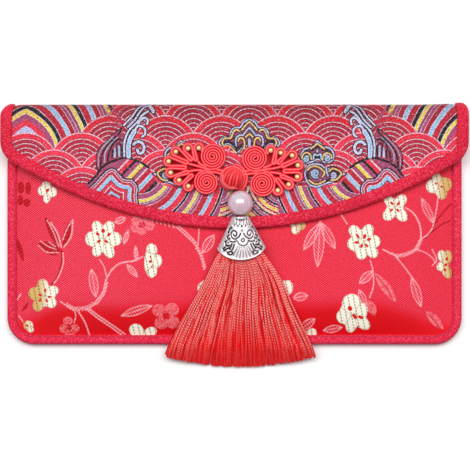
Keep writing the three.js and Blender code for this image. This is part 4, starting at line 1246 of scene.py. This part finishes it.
makeTape("flap_tape", "flap_binding", flapEdge(), flap["tapeWidth"], flap["edge"], flapPoint,
         tapePaint("flap twill", "#b80222", "#ff1a44", False))
makeTape("pouch_tape", "pouch_binding", pouchEdge(0.0, pouch["seamY"] - pouch["seamGap"]), pouch["tapeWidth"],
         pouch["edge"], ontoPouch, tapePaint("pouch twill", "#de062e", "#ff2a56", True))
print("tapes done")


# zigzag stitches along the pouch tape's inner edge

stitch = {
    "step": 1.0, "length": 1.5, "radius": 0.21, "inset": 3.3, "lift": 4.86, "lean": 40.0, "sides": 6,
    "topY": 22.0,
    "profile": [(-1, 0.25), (-0.94, 0.75), (-0.8, 1), (0, 1.12), (0.8, 1), (0.94, 0.75), (1, 0.25)],
}


def makeStitches():
    s = stitch
    shape = loft("stitch_shape", turned(np.array(s["profile"]) * (s["length"] / 2, s["radius"]), s["sides"], 0))
    places = withInward(evenly(pouchEdge(s["inset"], s["topY"]), s["step"]))
    zig = np.where(np.arange(len(places)) % 2, 1.0, -1.0)
    headings = zig * math.radians(s["lean"]) - np.arctan2(places[:, 2], places[:, 3])
    made = scatter("pouch_stitches", shape, level(places[:, :2], s["lift"]), headings,
                   threadPaint("stitch thread", "#b40c30", "#d8244c"))
    bpy.data.objects.remove(shape)
    dress(made, "binding_tape")
    print("stitches:", len(places))


makeStitches()


# frog fastening

frog = {
    "baseZ": 10.95, "height": 2.65, "stripWidth": 1.0, "petalWidth": 1.36, "roundShare": 0.485, "step": 0.3,
    "pitch": 1.06, "start": 0.3, "coilInset": 0.45, "coilSteps": 30, "rope": 0.55,
    "beadLoop": 1.74, "innerTurn": 0.62, "freeTurn": 250.0,
    "beadRadius": 1.08, "beadBore": 0.23, "beadLift": 0.25, "beadEnd": 76, "beadSteps": 13, "beadSides": 18,
    "backing": (10.7, 11.15), "backingIn": 0.2, "backingWaist": 1.2,
    # petals: bearing and reach of the bead, bearing and reach of the turn after it
    "left": {
        "hub": (-14.6, 22.9), "coils": [(-8.86, 27.5, 5.65), (-11.3, 17.0, 5.35)], "side": -1,
        "petals": [(89, 8.0, 107, 3.6), (118, 8.9, 131, 4.6), (144.5, 11.2, 156, 5.2), (168, 12.3, 179, 5.6),
                   (190, 11.4, 202, 4.9), (213, 9.3, 229, 4.3), (241.5, 8.5, 0, 0)],
    },
    "right": {
        "hub": (14.8, 21.5), "coils": [(8.3, 26.7, 5.7), (11.2, 16.45, 5.75)], "side": 1,
        "petals": [(91.4, 8.4, 73, 3.6), (62.4, 8.4, 50, 4.6), (37, 10.6, 25, 5.2), (12.6, 11.1, 0, 5.6),
                   (-12, 10.8, -25, 4.9), (-37, 8.9, -54, 4.3), (-71, 8.2, 0, 0)],
    },
}


def stripPaint():
    p = Paint("satin strip")
    rope = (p.attribute("along") * metre + p.attribute("across") * 1.1).wave(frog["rope"])
    grain, up = p.noise(1400.0), p.up()
    # painted shade on the strips' sides and a painted highlight along their crests, set by which way the
    # surface faces
    color = p.coats(
        p.mix(up.rise(-0.05, 0.6), "#a8040c", "#ff2232"), (rope * 0.2, "#ff3c48"),
        (grain.rise(0.45, 0.8) * 0.25, "#c00a1a"), (up.rise(0.9, 0.998) * (rope * 0.3 + 0.4), "#ff9ca4"))
    return p.finish(color, grain * 0.12 + 0.36, rope * 0.6 + grain * 0.5, 0.05, Specular_IOR_Level=0.4)


def beadPaint():
    p = Paint("gold bead")
    grain = p.noise(700.0, 3.0)
    return p.finish(p.mix(grain, "#f2cc78", "#fff4c8"), grain * 0.15 + 0.26, grain, 0.03, Metallic=0.3)


def crossing(a, b, way):  # where a straight run leaves one round for the next
    bearing = math.atan2(b[1] - a[1], b[0] - a[0])
    return bearing - way * math.acos((a[2] + b[2]) / math.hypot(b[0] - a[0], b[1] - a[1]))


def scrollPath(side):
    first, second = [(x, y, radius - frog["coilInset"]) for x, y, radius in side["coils"]]
    way = side["side"]
    leave = crossing(first, second, way)

    def coil(place, end):
        turns = (place[2] - frog["start"]) / frog["pitch"]
        back = np.linspace(turns * 2 * np.pi, 0, int(turns * frog["coilSteps"]))
        radius = place[2] - frog["pitch"] * back / (2 * np.pi)
        angle = end - way * back
        return np.stack([place[0] + radius * np.cos(angle), place[1] + radius * np.sin(angle)], 1)

    return np.concatenate([coil(first, leave), coil(second, leave + math.pi)[::-1]])


def beadPlaces(side):
    return [polar(side["hub"], math.radians(petal[0]), petal[1]) for petal in side["petals"]]


def petalPath(side):
    way = side["side"]
    rounds = []  # x, y, radius, way round
    for place, (*bead, turnAngle, turnReach) in zip(beadPlaces(side), side["petals"]):
        rounds.append((*place, frog["beadLoop"], -way))
        rounds.append((*polar(side["hub"], math.radians(turnAngle), turnReach), frog["innerTurn"], way))
    rounds.pop()
    free = math.radians(frog["freeTurn"])
    path = []
    for i, (x, y, radius, turn) in enumerate(rounds):
        leave = crossing(rounds[i], rounds[i + 1], turn) if i + 1 < len(rounds) else None
        enter = crossing(rounds[i - 1], rounds[i], rounds[i - 1][3]) + math.pi if i else None
        path.append(arc((x, y), radius, leave - free * turn if enter is None else enter,
                        enter + free * turn if leave is None else leave, turn))
    return evenly(np.concatenate(path), frog["step"])


def growStrip(name, paths, width, height, *nodes):  # silk strip on edge along plan paths
    standing = [level(path, frog["baseZ"] + height / 2) for path in paths]
    made = grow(name, standing, stripTree, {"Width": width * mm, "Height": height * mm,
                                            "Round": width * frog["roundShare"] * mm, "Material": stripSatin})
    dress(made, "frog_silk", *nodes)


def beadShape():  # a drilled bead on its side
    angle = np.radians(np.linspace(-frog["beadEnd"], frog["beadEnd"], frog["beadSteps"]))
    profile = np.stack([frog["beadRadius"] * np.sin(angle), frog["beadRadius"] * np.cos(angle)], 1)
    profile = np.concatenate([profile, profile[::-1] * (1, 0) + (0, frog["beadBore"])])
    return loft("bead_shape", turned(profile, frog["beadSides"], 0), closed=True)


def makeBacking(name, side):  # thin silk under the petals and between the coils
    beads = np.array(beadPlaces(side))
    fan = np.empty((len(beads) * 2 - 1, 2))
    fan[::2] = beads
    between, pulled = (beads[1:] + beads[:-1]) / 2, frog["backingIn"]
    fan[1::2] = between * (1 - pulled) + np.array(side["hub"]) * pulled
    first, second = [np.array(coil[:2]) for coil in side["coils"]]
    waist = (first + second) / 2 - (side["side"] * frog["backingWaist"], 0)
    outline = flow(np.concatenate([fan, [second, waist, first]]), 4, closed=True)
    made = loft(name, np.stack([level(outline, z) for z in frog["backing"]]), backingSilk)
    dress(made, "frog_silk")


def makeFrog():
    shape, gold = beadShape(), beadPaint()
    for name in ("left", "right"):
        side = frog[name]
        for label, path, width in (("scroll", scrollPath(side), frog["stripWidth"]),
                                   ("petals", petalPath(side), frog["petalWidth"])):
            growStrip(f"frog_{name}_{label}_strip", [path], width, frog["height"], f"frog_{name}_{label}")
        places = level(beadPlaces(side), frog["baseZ"] + frog["beadRadius"] + frog["beadLift"])
        headings = [math.radians(petal[0]) for petal in side["petals"]]
        beads = scatter(f"frog_{name}_beads", shape, places, headings, gold)
        dress(beads, "gold_bead", *[f"frog_{name}_bead_{i + 1}" for i in range(len(places))])
        makeBacking(f"frog_{name}_backing", side)
    bpy.data.objects.remove(shape)
    print("frog done")


stripSatin = stripPaint()
# the backing silk is a darker red than the strips: partly painted shade for the gaps between the petals
backingSilk = threadPaint("backing silk", "#b4061a", "#d41426")
makeFrog()


# button knot and its loop

knot = {
    "middle": (-0.8, 18.6, 15.4), "radius": 4.5, "strand": 0.72,
    "core": 3.75, "coreSides": 28, "coreLevels": 17, "strands": 16, "swirl": 0.6, "points": 44,
    "toPole": 1.45, "under": 0.2, "rope": 0.8,
    "pole": (0.66, 0.66, 0.36), "wraps": [(66, 160, 285), (88, 150, 300)], "wrapPoints": 30, "wrapLift": 0.25,
    "loopHeight": 2.4, "loops": [(4.75, -70, 250), (5.8, -75, 80)],  # radius, start, end
    "necks": [  # strips that run from between the petals to the knot and to the loop
        [(-18.8, 24.6), (-15, 23.6), (-11, 22.5), (-7, 22.2), (-4.2, 21.4)],
        [(-19, 21.3), (-15, 21.9), (-10.4, 21.3), (-7, 20.9), (-4.4, 20)],
        [(-15.4, 26.4), (-13.8, 24.4), (-11.2, 23.4)], [(-15.8, 19.2), (-14, 20.7), (-11.4, 21)],
        [(2.6, 21.4), (6, 21.7), (10, 22), (15, 22.5), (19.2, 23.4)],
        [(2.8, 20), (6.2, 20.4), (10.4, 20.8), (15, 21), (19.4, 20.3)],
        [(16.4, 25.8), (14.4, 23.9), (11.6, 22.9)], [(16.8, 18.2), (14.6, 19.9), (12, 20.4)],
    ],
}


def knotPaint():
    k = knot
    p = Paint("knot satin")
    rope = (p.attribute("along") * metre + p.attribute("across") * 1.6).wave(k["rope"])
    grain = p.noise(1400.0)
    middle = tuple(side * mm for side in k["middle"])
    away = p.node("ShaderNodeVectorMath", {"operation": "DISTANCE"}, {0: p.place(), 1: middle}, "Value")
    proud = away * metre - k["radius"]
    # painted shade between the strands and painted highlights on their crests, set by how far out from the
    # knot's middle the surface lies
    crest = proud.rise(-0.5, -0.12)
    color = p.coats(
        p.mix(crest, "#b8060e", "#ff2634"), (rope * crest * 0.3, "#ff6e70"),
        (proud.rise(-0.07, 0.01) * 0.45, "#ff9ca0"))
    return p.finish(color, grain * 0.12 + 0.36, rope * 0.6 + grain * 0.5, 0.06, Specular_IOR_Level=0.4)


def knotPaths():
    k = knot
    pole = np.array(k["pole"]) / np.linalg.norm(k["pole"])
    side = np.cross(pole, (0, 0, 1)) / np.linalg.norm(np.cross(pole, (0, 0, 1)))
    front = np.cross(side, pole)
    far = k["radius"] - k["strand"]
    lat = np.linspace(-k["toPole"], k["toPole"], k["points"])[:, None]
    paths = []
    for i in range(k["strands"]):  # strands that swirl from pole to pole
        lon = 2 * np.pi * i / k["strands"] + k["swirl"] * np.sin(lat)
        around = np.cos(lon) * side + np.sin(lon) * front
        paths.append((far - k["under"] * (i % 2)) * (np.cos(lat) * around + np.sin(lat) * pole))
    for tip, start, end in k["wraps"]:  # strands that lie over them round the lower side
        turn = np.radians(np.linspace(start, end, k["wrapPoints"]))
        down = math.radians(tip)
        ring = level(math.sin(down) * np.stack([np.cos(turn), np.sin(turn)], 1), math.cos(down))
        paths.append((far + k["wrapLift"]) * ring)
    return [path + k["middle"] for path in paths]


def makeKnot():
    k = knot
    strands = grow("knot_strands", knotPaths(), knotTree, {"Width": k["strand"] * mm, "Material": knotPaint()})
    dress(strands, "frog_silk", "frog_knot")
    angle = np.linspace(0, np.pi, k["coreLevels"])
    profile = np.stack([k["core"] * np.cos(angle), k["core"] * np.maximum(np.sin(angle), 0.02)], 1)
    # the core is dark red: painted shade seen through the gaps between the strands
    core = loft("knot_core", turned(profile, k["coreSides"], 2) + k["middle"],
                threadPaint("knot core", "#8a0410", "#b00818"))
    dress(core, "frog_silk")
    loops = [arc(k["middle"], radius, math.radians(start), math.radians(end), step=8.0)
             for radius, start, end in k["loops"]]
    paths = [evenly(path, frog["step"]) for path in loops + [flow(points, 8) for points in k["necks"]]]
    growStrip("frog_loop_strip", paths, frog["petalWidth"], k["loopHeight"], "frog_loop")
    print("knot done")


makeKnot()


# pearl and cord

pendant = {
    "x": 2.3, "z": 16.25, "pearlY": 8.6, "pearlRadius": 5.05, "pearlLevels": 40, "pearlSides": 56,
    "bore": 0.85, "lipShare": 0.86, "lipDepth": 0.15,
    "cordTop": 15.7, "cordEnd": 0.6, "cordPoints": 90,
    "plies": 3, "plyRadius": 0.33, "plyReach": 0.3, "plyTurn": 2.6,
}


def pearlPaint():
    p = Paint("pearl")
    soft = p.noise(130.0)
    color = p.ramp(soft, [(0.36, "#e8b2cc"), (0.5, "#e0d0e0"), (0.64, "#c0d8e0")], "LINEAR")
    color = p.mix(0.12, color, p.noise(60.0, 1.0, out="Color"))
    return p.finish(color, soft * 0.1 + 0.3, Specular_IOR_Level=0.9, Coat_Weight=1.0, Coat_Roughness=0.2,
                    Coat_IOR=2.2)


def makePendant():
    d = pendant
    edge = math.asin(d["bore"] / d["pearlRadius"])
    angle = np.linspace(-np.pi / 2 + edge, np.pi / 2 - edge, d["pearlLevels"])
    along, far = d["pearlRadius"] * np.sin(angle), d["pearlRadius"] * np.cos(angle)
    drill = d["bore"] * d["lipShare"]
    lip = [(along[-1] - d["lipDepth"], drill), (along[0] + d["lipDepth"], drill)]
    profile = np.concatenate([np.stack([along, far], 1), lip])
    rings = turned(profile, d["pearlSides"], 1) + (d["x"], d["pearlY"], d["z"])
    dress(loft("pearl_bead", rings, pearlPaint(), closed=True), "pearl", "pearl")
    y = np.linspace(d["cordTop"], d["cordEnd"], d["cordPoints"])
    plies = []
    for i in range(d["plies"]):
        wind = y * d["plyTurn"] + i * 2 * np.pi / d["plies"]
        x, z = d["x"] + d["plyReach"] * np.cos(wind), d["z"] + d["plyReach"] * np.sin(wind)
        plies.append(np.stack([x, y, z], 1))
    cord = grow("twisted_cord", plies, threadTree,
                {"Width": d["plyRadius"] * mm, "Material": threadPaint("cord silk", "#b40a1c", "#e83038")})
    dress(cord, "frog_silk", "hanging_cord")
    print("pearl and cord done")


makePendant()


# cast cap

cap = {
    "topY": 3.2, "tilt": 5.5, "swing": 2.2, "wall": 0.9, "bore": 1.1, "topWidth": 3.3, "topDepth": 2.8,
    "rimWidth": 12.1, "rimDepth": 4.4, "middle": 17.2, "side": 12.6, "around": 320, "levels": 110,
    "relief": 0.3, "shallow": 0.68, "innerShares": (1.0, 0.66, 0.33), "innerGroove": 0.6,
    "bareSide": 0.12, "sideRise": 5.0, "grooveEnd": 0.965, "lip": 0.14, "lipFrom": 0.955, "lipTo": 0.99,
    "ease": 0.02, "axis": 241.4, "near": 1.1, "far": 1.35,
    "veins": (243.4, 247.4), "veinTop": 218.4, "veinFoot": 224.4, "veinIn": 0.7, "veinWidth": 0.22,
    "eye": (242.0, 239.6),  # two rings about it: radius, start, end, half width
    "eyeRings": [(1.6, 0, 2 * math.pi - 0.01, 0.32), (5.6, 0.2, math.pi - 0.2, 0.36)],
    "star": (2.0, 0.8), "starY": 230.6, "fan": (241.8, 238.4), "flutes": 7, "fluteSpread": 11.0,
    "fluteTop": 9.0, "fluteEnd": 18.6, "fluteSteps": 9, "fluteWidth": 0.058,
}
capGrooves = [  # points, half width, cut into one side and mirrored
    ([(243.0, 233), (243.8, 234.8), (245.4, 236.6), (248.9, 238.3), (251.8, 236.6), (252.8, 233),
     (250.4, 229.9), (247.4, 231.2), (247.1, 234.2), (249.2, 235.4), (250.3, 233.6)], 0.4),
    ([(247.3, 240), (250.4, 241.2), (254, 240.4)], 0.4),
    ([(254.6, 234), (256.6, 236.2), (255.4, 238.4), (253.8, 237.2)], 0.45),
    ([(252.6, 226.4), (254.4, 229.2), (255.6, 232.2)], 0.5),
    ([(257.6, 239.6), (258.4, 242), (257.4, 244.6), (254.6, 244.6)], 0.55),
    ([(252.2, 243), (253.6, 246), (256.4, 247.2), (259.8, 248.8)], 0.5),
    ([(249.8, 243.6), (251.6, 248.2), (254.4, 250.6), (257.4, 251)], 0.45),
    ([(251.6, 252), (253.4, 253.6), (256.2, 253)], 0.45), ([(259.4, 246), (261.2, 247.6)], 0.6),
]
capDots = [  # middle, half width, half height
    ((244.0, 219.8), 0.6, 0.9), ((247.0, 219.0), 0.55, 0.9), ((245.4, 225.4), 0.6, 0.9),
    ((249.2, 224.4), 0.65, 0.9), ((241.2, 225.8), 0.6, 0.9), ((241.2, 220.0), 0.6, 0.9),
    ((252.0, 227.4), 0.9, 0.7), ((255.8, 241.6), 0.8, 0.6), ((258.6, 240.6), 1.1, 0.8),
    ((257.8, 244.4), 1.3, 0.8), ((260.0, 249.2), 1.5, 0.8), ((254.4, 247.8), 1.0, 0.8),
    ((252.2, 251.2), 1.1, 0.8), ((256.4, 252.4), 1.2, 0.6), ((255.4, 231.4), 0.9, 0.7),
    ((256.8, 235.8), 0.8, 0.8),
]


def capFields(at):
    c = cap
    axis = c["axis"]
    cut, shallow = np.full((2, len(at)), -pen["reach"])
    for side, more in ((at, c["near"]), (np.stack([2 * axis - at[:, 0], at[:, 1]], 1), c["far"])):
        for points, half in capGrooves:
            drawStroke(cut, side, flow(points, 5), half * more)
        for middle, wide, tall in capDots:
            drawOval(cut, side, middle, wide, tall)
        for foot in c["veins"]:
            head = ((foot - axis) * c["veinIn"] + axis, c["veinTop"])
            drawStroke(cut, side, [head, (foot, c["veinFoot"])], c["veinWidth"])
    for radius, start, end, half in c["eyeRings"]:
        drawStroke(cut, at, arc(c["eye"], radius, start, end), half)
    for i in range(c["flutes"]):  # shallow flutes that widen towards the rim
        angle = math.radians(90 + (i - (c["flutes"] - 1) / 2) * c["fluteSpread"])
        for r in np.linspace(c["fluteTop"], c["fluteEnd"], c["fluteSteps"]):
            drawOval(shallow, at, polar(c["fan"], angle, r), r * c["fluteWidth"], r * c["fluteWidth"])
    points = zip(np.arange(10) * np.pi / 5, c["star"] * 5)
    drawPatch(shallow, at, [(axis + r * math.sin(a), c["starY"] - r * math.cos(a)) for a, r in points])
    return np.maximum(smooth((cut + 0.5) / 0.8), c["shallow"] * smooth((shallow + 0.5) / 0.9))


def capPaint():
    p = Paint("cast silver")
    grain, tarnish = p.noise(520.0, 3.0), p.noise(160.0)
    dark = (p.attribute("groove") + (grain - 0.5) * 0.2).rise(0.3, 0.95)
    color = p.coats("#dfd6da", (dark, "#0e080e"), (tarnish.rise(0.5, 0.85) * 0.3, "#a89aa8"))
    return p.finish(color, 0.34 + dark * 0.3 + grain * 0.1, grain, 0.05, Metallic=0.55)


def swung(first, second, degrees):  # a pair of axes turned
    turn = math.radians(degrees)
    return first * math.cos(turn) - second * math.sin(turn), first * math.sin(turn) + second * math.cos(turn)


def makeCap():
    c = cap
    angle = np.arange(c["around"]) * 2 * np.pi / c["around"]
    length = c["side"] + (c["middle"] - c["side"]) * np.sin(angle) ** 2

    def wall(share, lift):
        down = share * length / c["middle"]
        wide = c["topWidth"] + (c["rimWidth"] - c["topWidth"]) * down + lift
        deep = c["topDepth"] + (c["rimDepth"] - c["topDepth"]) * down + lift
        return np.stack([wide * np.cos(angle), -share * length, deep * np.sin(angle)], -1)

    shares = np.linspace(0, 1, c["levels"])
    plain = np.stack([wall(share, 0.0) for share in shares])
    at = toDraft(plain[..., 0] + pendant["x"], plain[..., 1] + c["topY"]).reshape(-1, 2)
    groove = capFields(at).reshape(plain.shape[:2])
    groove = groove * smooth((np.abs(np.sin(angle)) - c["bareSide"]) * c["sideRise"])
    groove = groove * smooth((c["grooveEnd"] - shares) / c["ease"])[:, None]
    lip = smooth((shares - c["lipFrom"]) / c["ease"]) - smooth((shares - c["lipTo"]) / (c["ease"] / 2))
    lifts = c["lip"] * lip[:, None] - c["relief"] * groove
    outer = [wall(share, lift) for share, lift in zip(shares, lifts)]
    inner = [wall(share, -c["wall"]) for share in c["innerShares"]]
    shoulder = wall(0.0, -c["wall"])
    shoulder[:, 1] = -c["wall"]
    top, under = turned([(0.0, c["bore"]), (-c["wall"], c["bore"])], c["around"], 1)
    rings = np.stack([top, *outer, *inner, shoulder, under])
    depths = np.full(rings.shape[:2], c["innerGroove"])
    depths[0], depths[1:len(outer) + 1] = 0, groove
    x, y, z = np.moveaxis(rings, -1, 0)
    y, z = swung(y, z, c["tilt"])
    x, y = swung(x, y, c["swing"])
    placed = np.stack([x + pendant["x"], y + c["topY"], z + pendant["z"]], -1)
    made = loft("cast_cap", placed, capPaint(), {"groove": depths.ravel()}, closed=True)
    dress(made, "cap_metal", "tassel_cap")
    print("cap done")


makeCap()


# tassel

tassel = {
    "apexY": 61.8, "reach": 119.0, "tipEdge": 30.6, "tipDepth": 2.2, "startY": -10.0, "uneven": 0.9,
    "lean": 1.2, "leanY": -23.0, "leanRun": 9.0, "hang": 1.4, "hangZ": 0.3, "rounding": 0.95,
    "heave": 0.15, "heaveTurn": 5.0, "swayTurn": (2.0, 6.0), "strayShare": 0.6, "strayMost": 1.4,
    "floorGap": 0.05, "twist": 1.12, "lowFrom": -0.048, "lowTo": -0.032, "lowFan": 0.38,
    "yarns": {"count": 260, "points": 36, "radius": 0.56, "wander": 0.5, "stray": 1.0, "tone": (0.0, 0.75),
              "layer": (0.1, 0.97)},
    "locks": {"count": 46, "points": 50, "radius": 0.52, "wander": 0.7, "stray": 2.0, "tone": (0.4, 1.0),
              "layer": (0.97, 1.06)},
    "core": {"levels": 24, "sides": 48, "width": 0.93, "short": 2.2, "middle": 0.42, "depth": 0.26},
    "rows": [  # y, half width, underside, depth, how oval
        (0.3, 3.1, 14.3, 3.3, 1), (-9.0, 7.7, 12.6, 5.0, 1), (-14.4, 11.4, 11.5, 5.2, 1),
        (-21.0, 15.2, 8.6, 5.4, 0.4), (-32.0, 20.7, 7.15, 4.4, 0), (-44.2, 26.7, 5.1, 3.6, 0),
        (-49.4, 29.2, 5.1, 3.0, 0),
    ],
}


def tasselTip(share):  # where threads end, for their share of the fan
    return tassel["apexY"] - np.sqrt(tassel["reach"] ** 2 - (share * tassel["tipEdge"]) ** 2)


def tasselShape(y, share):  # half width, underside, depth and roundness where a thread passes
    s = tassel
    rows = flow(s["rows"], 10)[::-1]
    wide, low, deep, oval = [np.interp(y, rows[:, 0], rows[:, i]) for i in (1, 2, 3, 4)]
    hangY = s["rows"][-1][0]
    past = np.clip((hangY - y) / (hangY - s["apexY"] + s["reach"]), 0, 1)
    end = np.clip((hangY - y) / np.maximum(hangY - tasselTip(share), 0.1), 0, 1)
    wide = wide + (s["tipEdge"] - wide) * end
    deep = deep + (s["tipDepth"] - deep) * end
    low = low + (s["hangZ"] - low) * past ** s["hang"]
    return wide, low, deep, np.sqrt(1 - s["rounding"] * oval * share ** 2)


def tasselLean(y):  # the threads swing a little to one side below the cap
    return pendant["x"] + tassel["lean"] * np.exp(-((y - tassel["leanY"]) / tassel["leanRun"]) ** 2)


def tasselPaint():
    s = tassel
    p = Paint("tassel silk")
    along, across, tone = [p.attribute(label) for label in ("along", "across", "tone")]
    x, y, z = p.split(p.place())
    up, grain = p.up(), p.noise(900.0, 1.0)
    streak = p.noise(1.0, 2.0, p.point(x * 900.0, y * 90.0, z * 900.0))
    twist = (along * metre + across * 2.2 + tone * 137.0 + grain * 0.6).wave(s["twist"])
    # painted shade: a deeper red towards the lower middle, where the threads' sheen fades, with less glint
    # there
    low = (y + abs(x - pendant["x"] * mm) * s["lowFan"]).fall(s["lowFrom"], s["lowTo"])
    shine = (tone * 0.7 + streak * 1.3 - 0.5).rise(0.28, 0.66)
    # painted highlights: glints on the threads' tops at the twist's crests; painted shade in the twist's
    # grooves and on the threads' sides
    glint = up.rise(0.4, 0.98) * (shine * 0.76 + 0.05) * (twist.rise(0.35, 0.85) * 0.88 + 0.12)
    color = p.coats(
        p.mix(shine, "#f80410", "#ff2c38"), (low * 0.9, "#f8000a"),
        (glint * (1.0 - low * 0.75), "#ffc2b8"),
        ((1.0 - twist).rise(0.5, 1.0) * 0.35, "#e00010"), (up.fall(0.0, 0.5) * 0.45, "#b8000a"))
    return p.finish(color, tone * 0.1 + 0.42, twist, 0.16, Specular_IOR_Level=0.2, Sheen_Weight=1.0,
                    Sheen_Roughness=0.4, Sheen_Tint="#ff2424")


def threadPaths(kind):  # threads spread over the fan, each with its own layer, tone and sway
    s, count, steps = tassel, kind["count"], kind["points"]
    share = (np.arange(count) + rng.uniform(0, 1, count)) / count * 2 - 1
    layer = rng.uniform(*kind["layer"], count)
    tone = rng.uniform(*kind["tone"], count)
    tipY = tasselTip(share) + rng.uniform(-1, 1, count) * s["uneven"]
    t = np.linspace(0, 1, steps)
    y = s["startY"] + (tipY[:, None] - s["startY"]) * t
    spread = share[:, None] * np.ones(steps)
    wide, low, deep, rounding = tasselShape(y, spread)
    phase = rng.uniform(0, 2 * np.pi, (count, 1))
    sway = kind["wander"] * t * np.sin(phase + t * rng.uniform(*s["swayTurn"], (count, 1)))
    stray = np.clip(rng.normal(0, s["strayShare"], (count, 1)), -s["strayMost"], s["strayMost"])
    stray = stray * (1 - np.abs(spread) ** 4)
    x = tasselLean(y) + spread * (wide - kind["radius"]) + sway + kind["stray"] * t ** 2 * stray
    heave = s["heave"] * t * np.sin(2 * phase + t * s["heaveTurn"])
    z = low + deep / 2 + (layer[:, None] - 0.5) * (deep - 2 * kind["radius"]) * rounding + heave
    z = np.maximum(z, kind["radius"] + s["floorGap"])
    return list(np.stack([x, y, z], -1)), np.repeat(tone, steps)


def makeTassel():
    silkThread = tasselPaint()
    for label, kind, nodes in (("threads", tassel["yarns"], ["tassel"]), ("locks", tassel["locks"], [])):
        paths, tone = threadPaths(kind)
        given = {"Width": kind["radius"] * mm, "Material": silkThread}
        made = grow(f"tassel_{label}", paths, threadTree, given, {"tone": tone})
        dress(made, "tassel_silk", *nodes)
        print("tassel", label, len(paths), "in", len(made.data.polygons), "faces")
    c = tassel["core"]
    angle = np.arange(c["sides"]) * 2 * np.pi / c["sides"]
    across = np.cos(angle) * c["width"]
    y = (tasselTip(across) + c["short"]) * np.linspace(0, 1, c["levels"])[:, None]
    wide, low, deep, rounding = tasselShape(y, across)
    z = low + deep * c["middle"] + np.sin(angle) * deep * c["depth"] * rounding
    rings = np.stack([tasselLean(y) + across * wide, y, np.maximum(z, tassel["hangZ"])], -1)
    # the core under the threads is a darker red than they are: painted shade for the gaps between them
    dress(loft("tassel_core", rings, threadPaint("tassel core", "#d00814", "#f01420")), "tassel_silk")
    print("tassel done")


makeTassel()


# floor

floor = {"half": 3000.0, "top": -0.02, "under": -0.2}


def makeFloor():
    square = np.array([(-1, -1), (1, -1), (1, 1), (-1, 1)]) * floor["half"]
    rings = np.stack([level(square, z) for z in (floor["under"], floor["top"])])
    p = Paint("pale floor")
    color = p.mix(p.noise(3.0), "#fbfbfb", "#ffffff")
    loft("floor", rings, p.finish(color, 0.9, Specular_IOR_Level=0.1))
    print("floor done")


makeFloor()
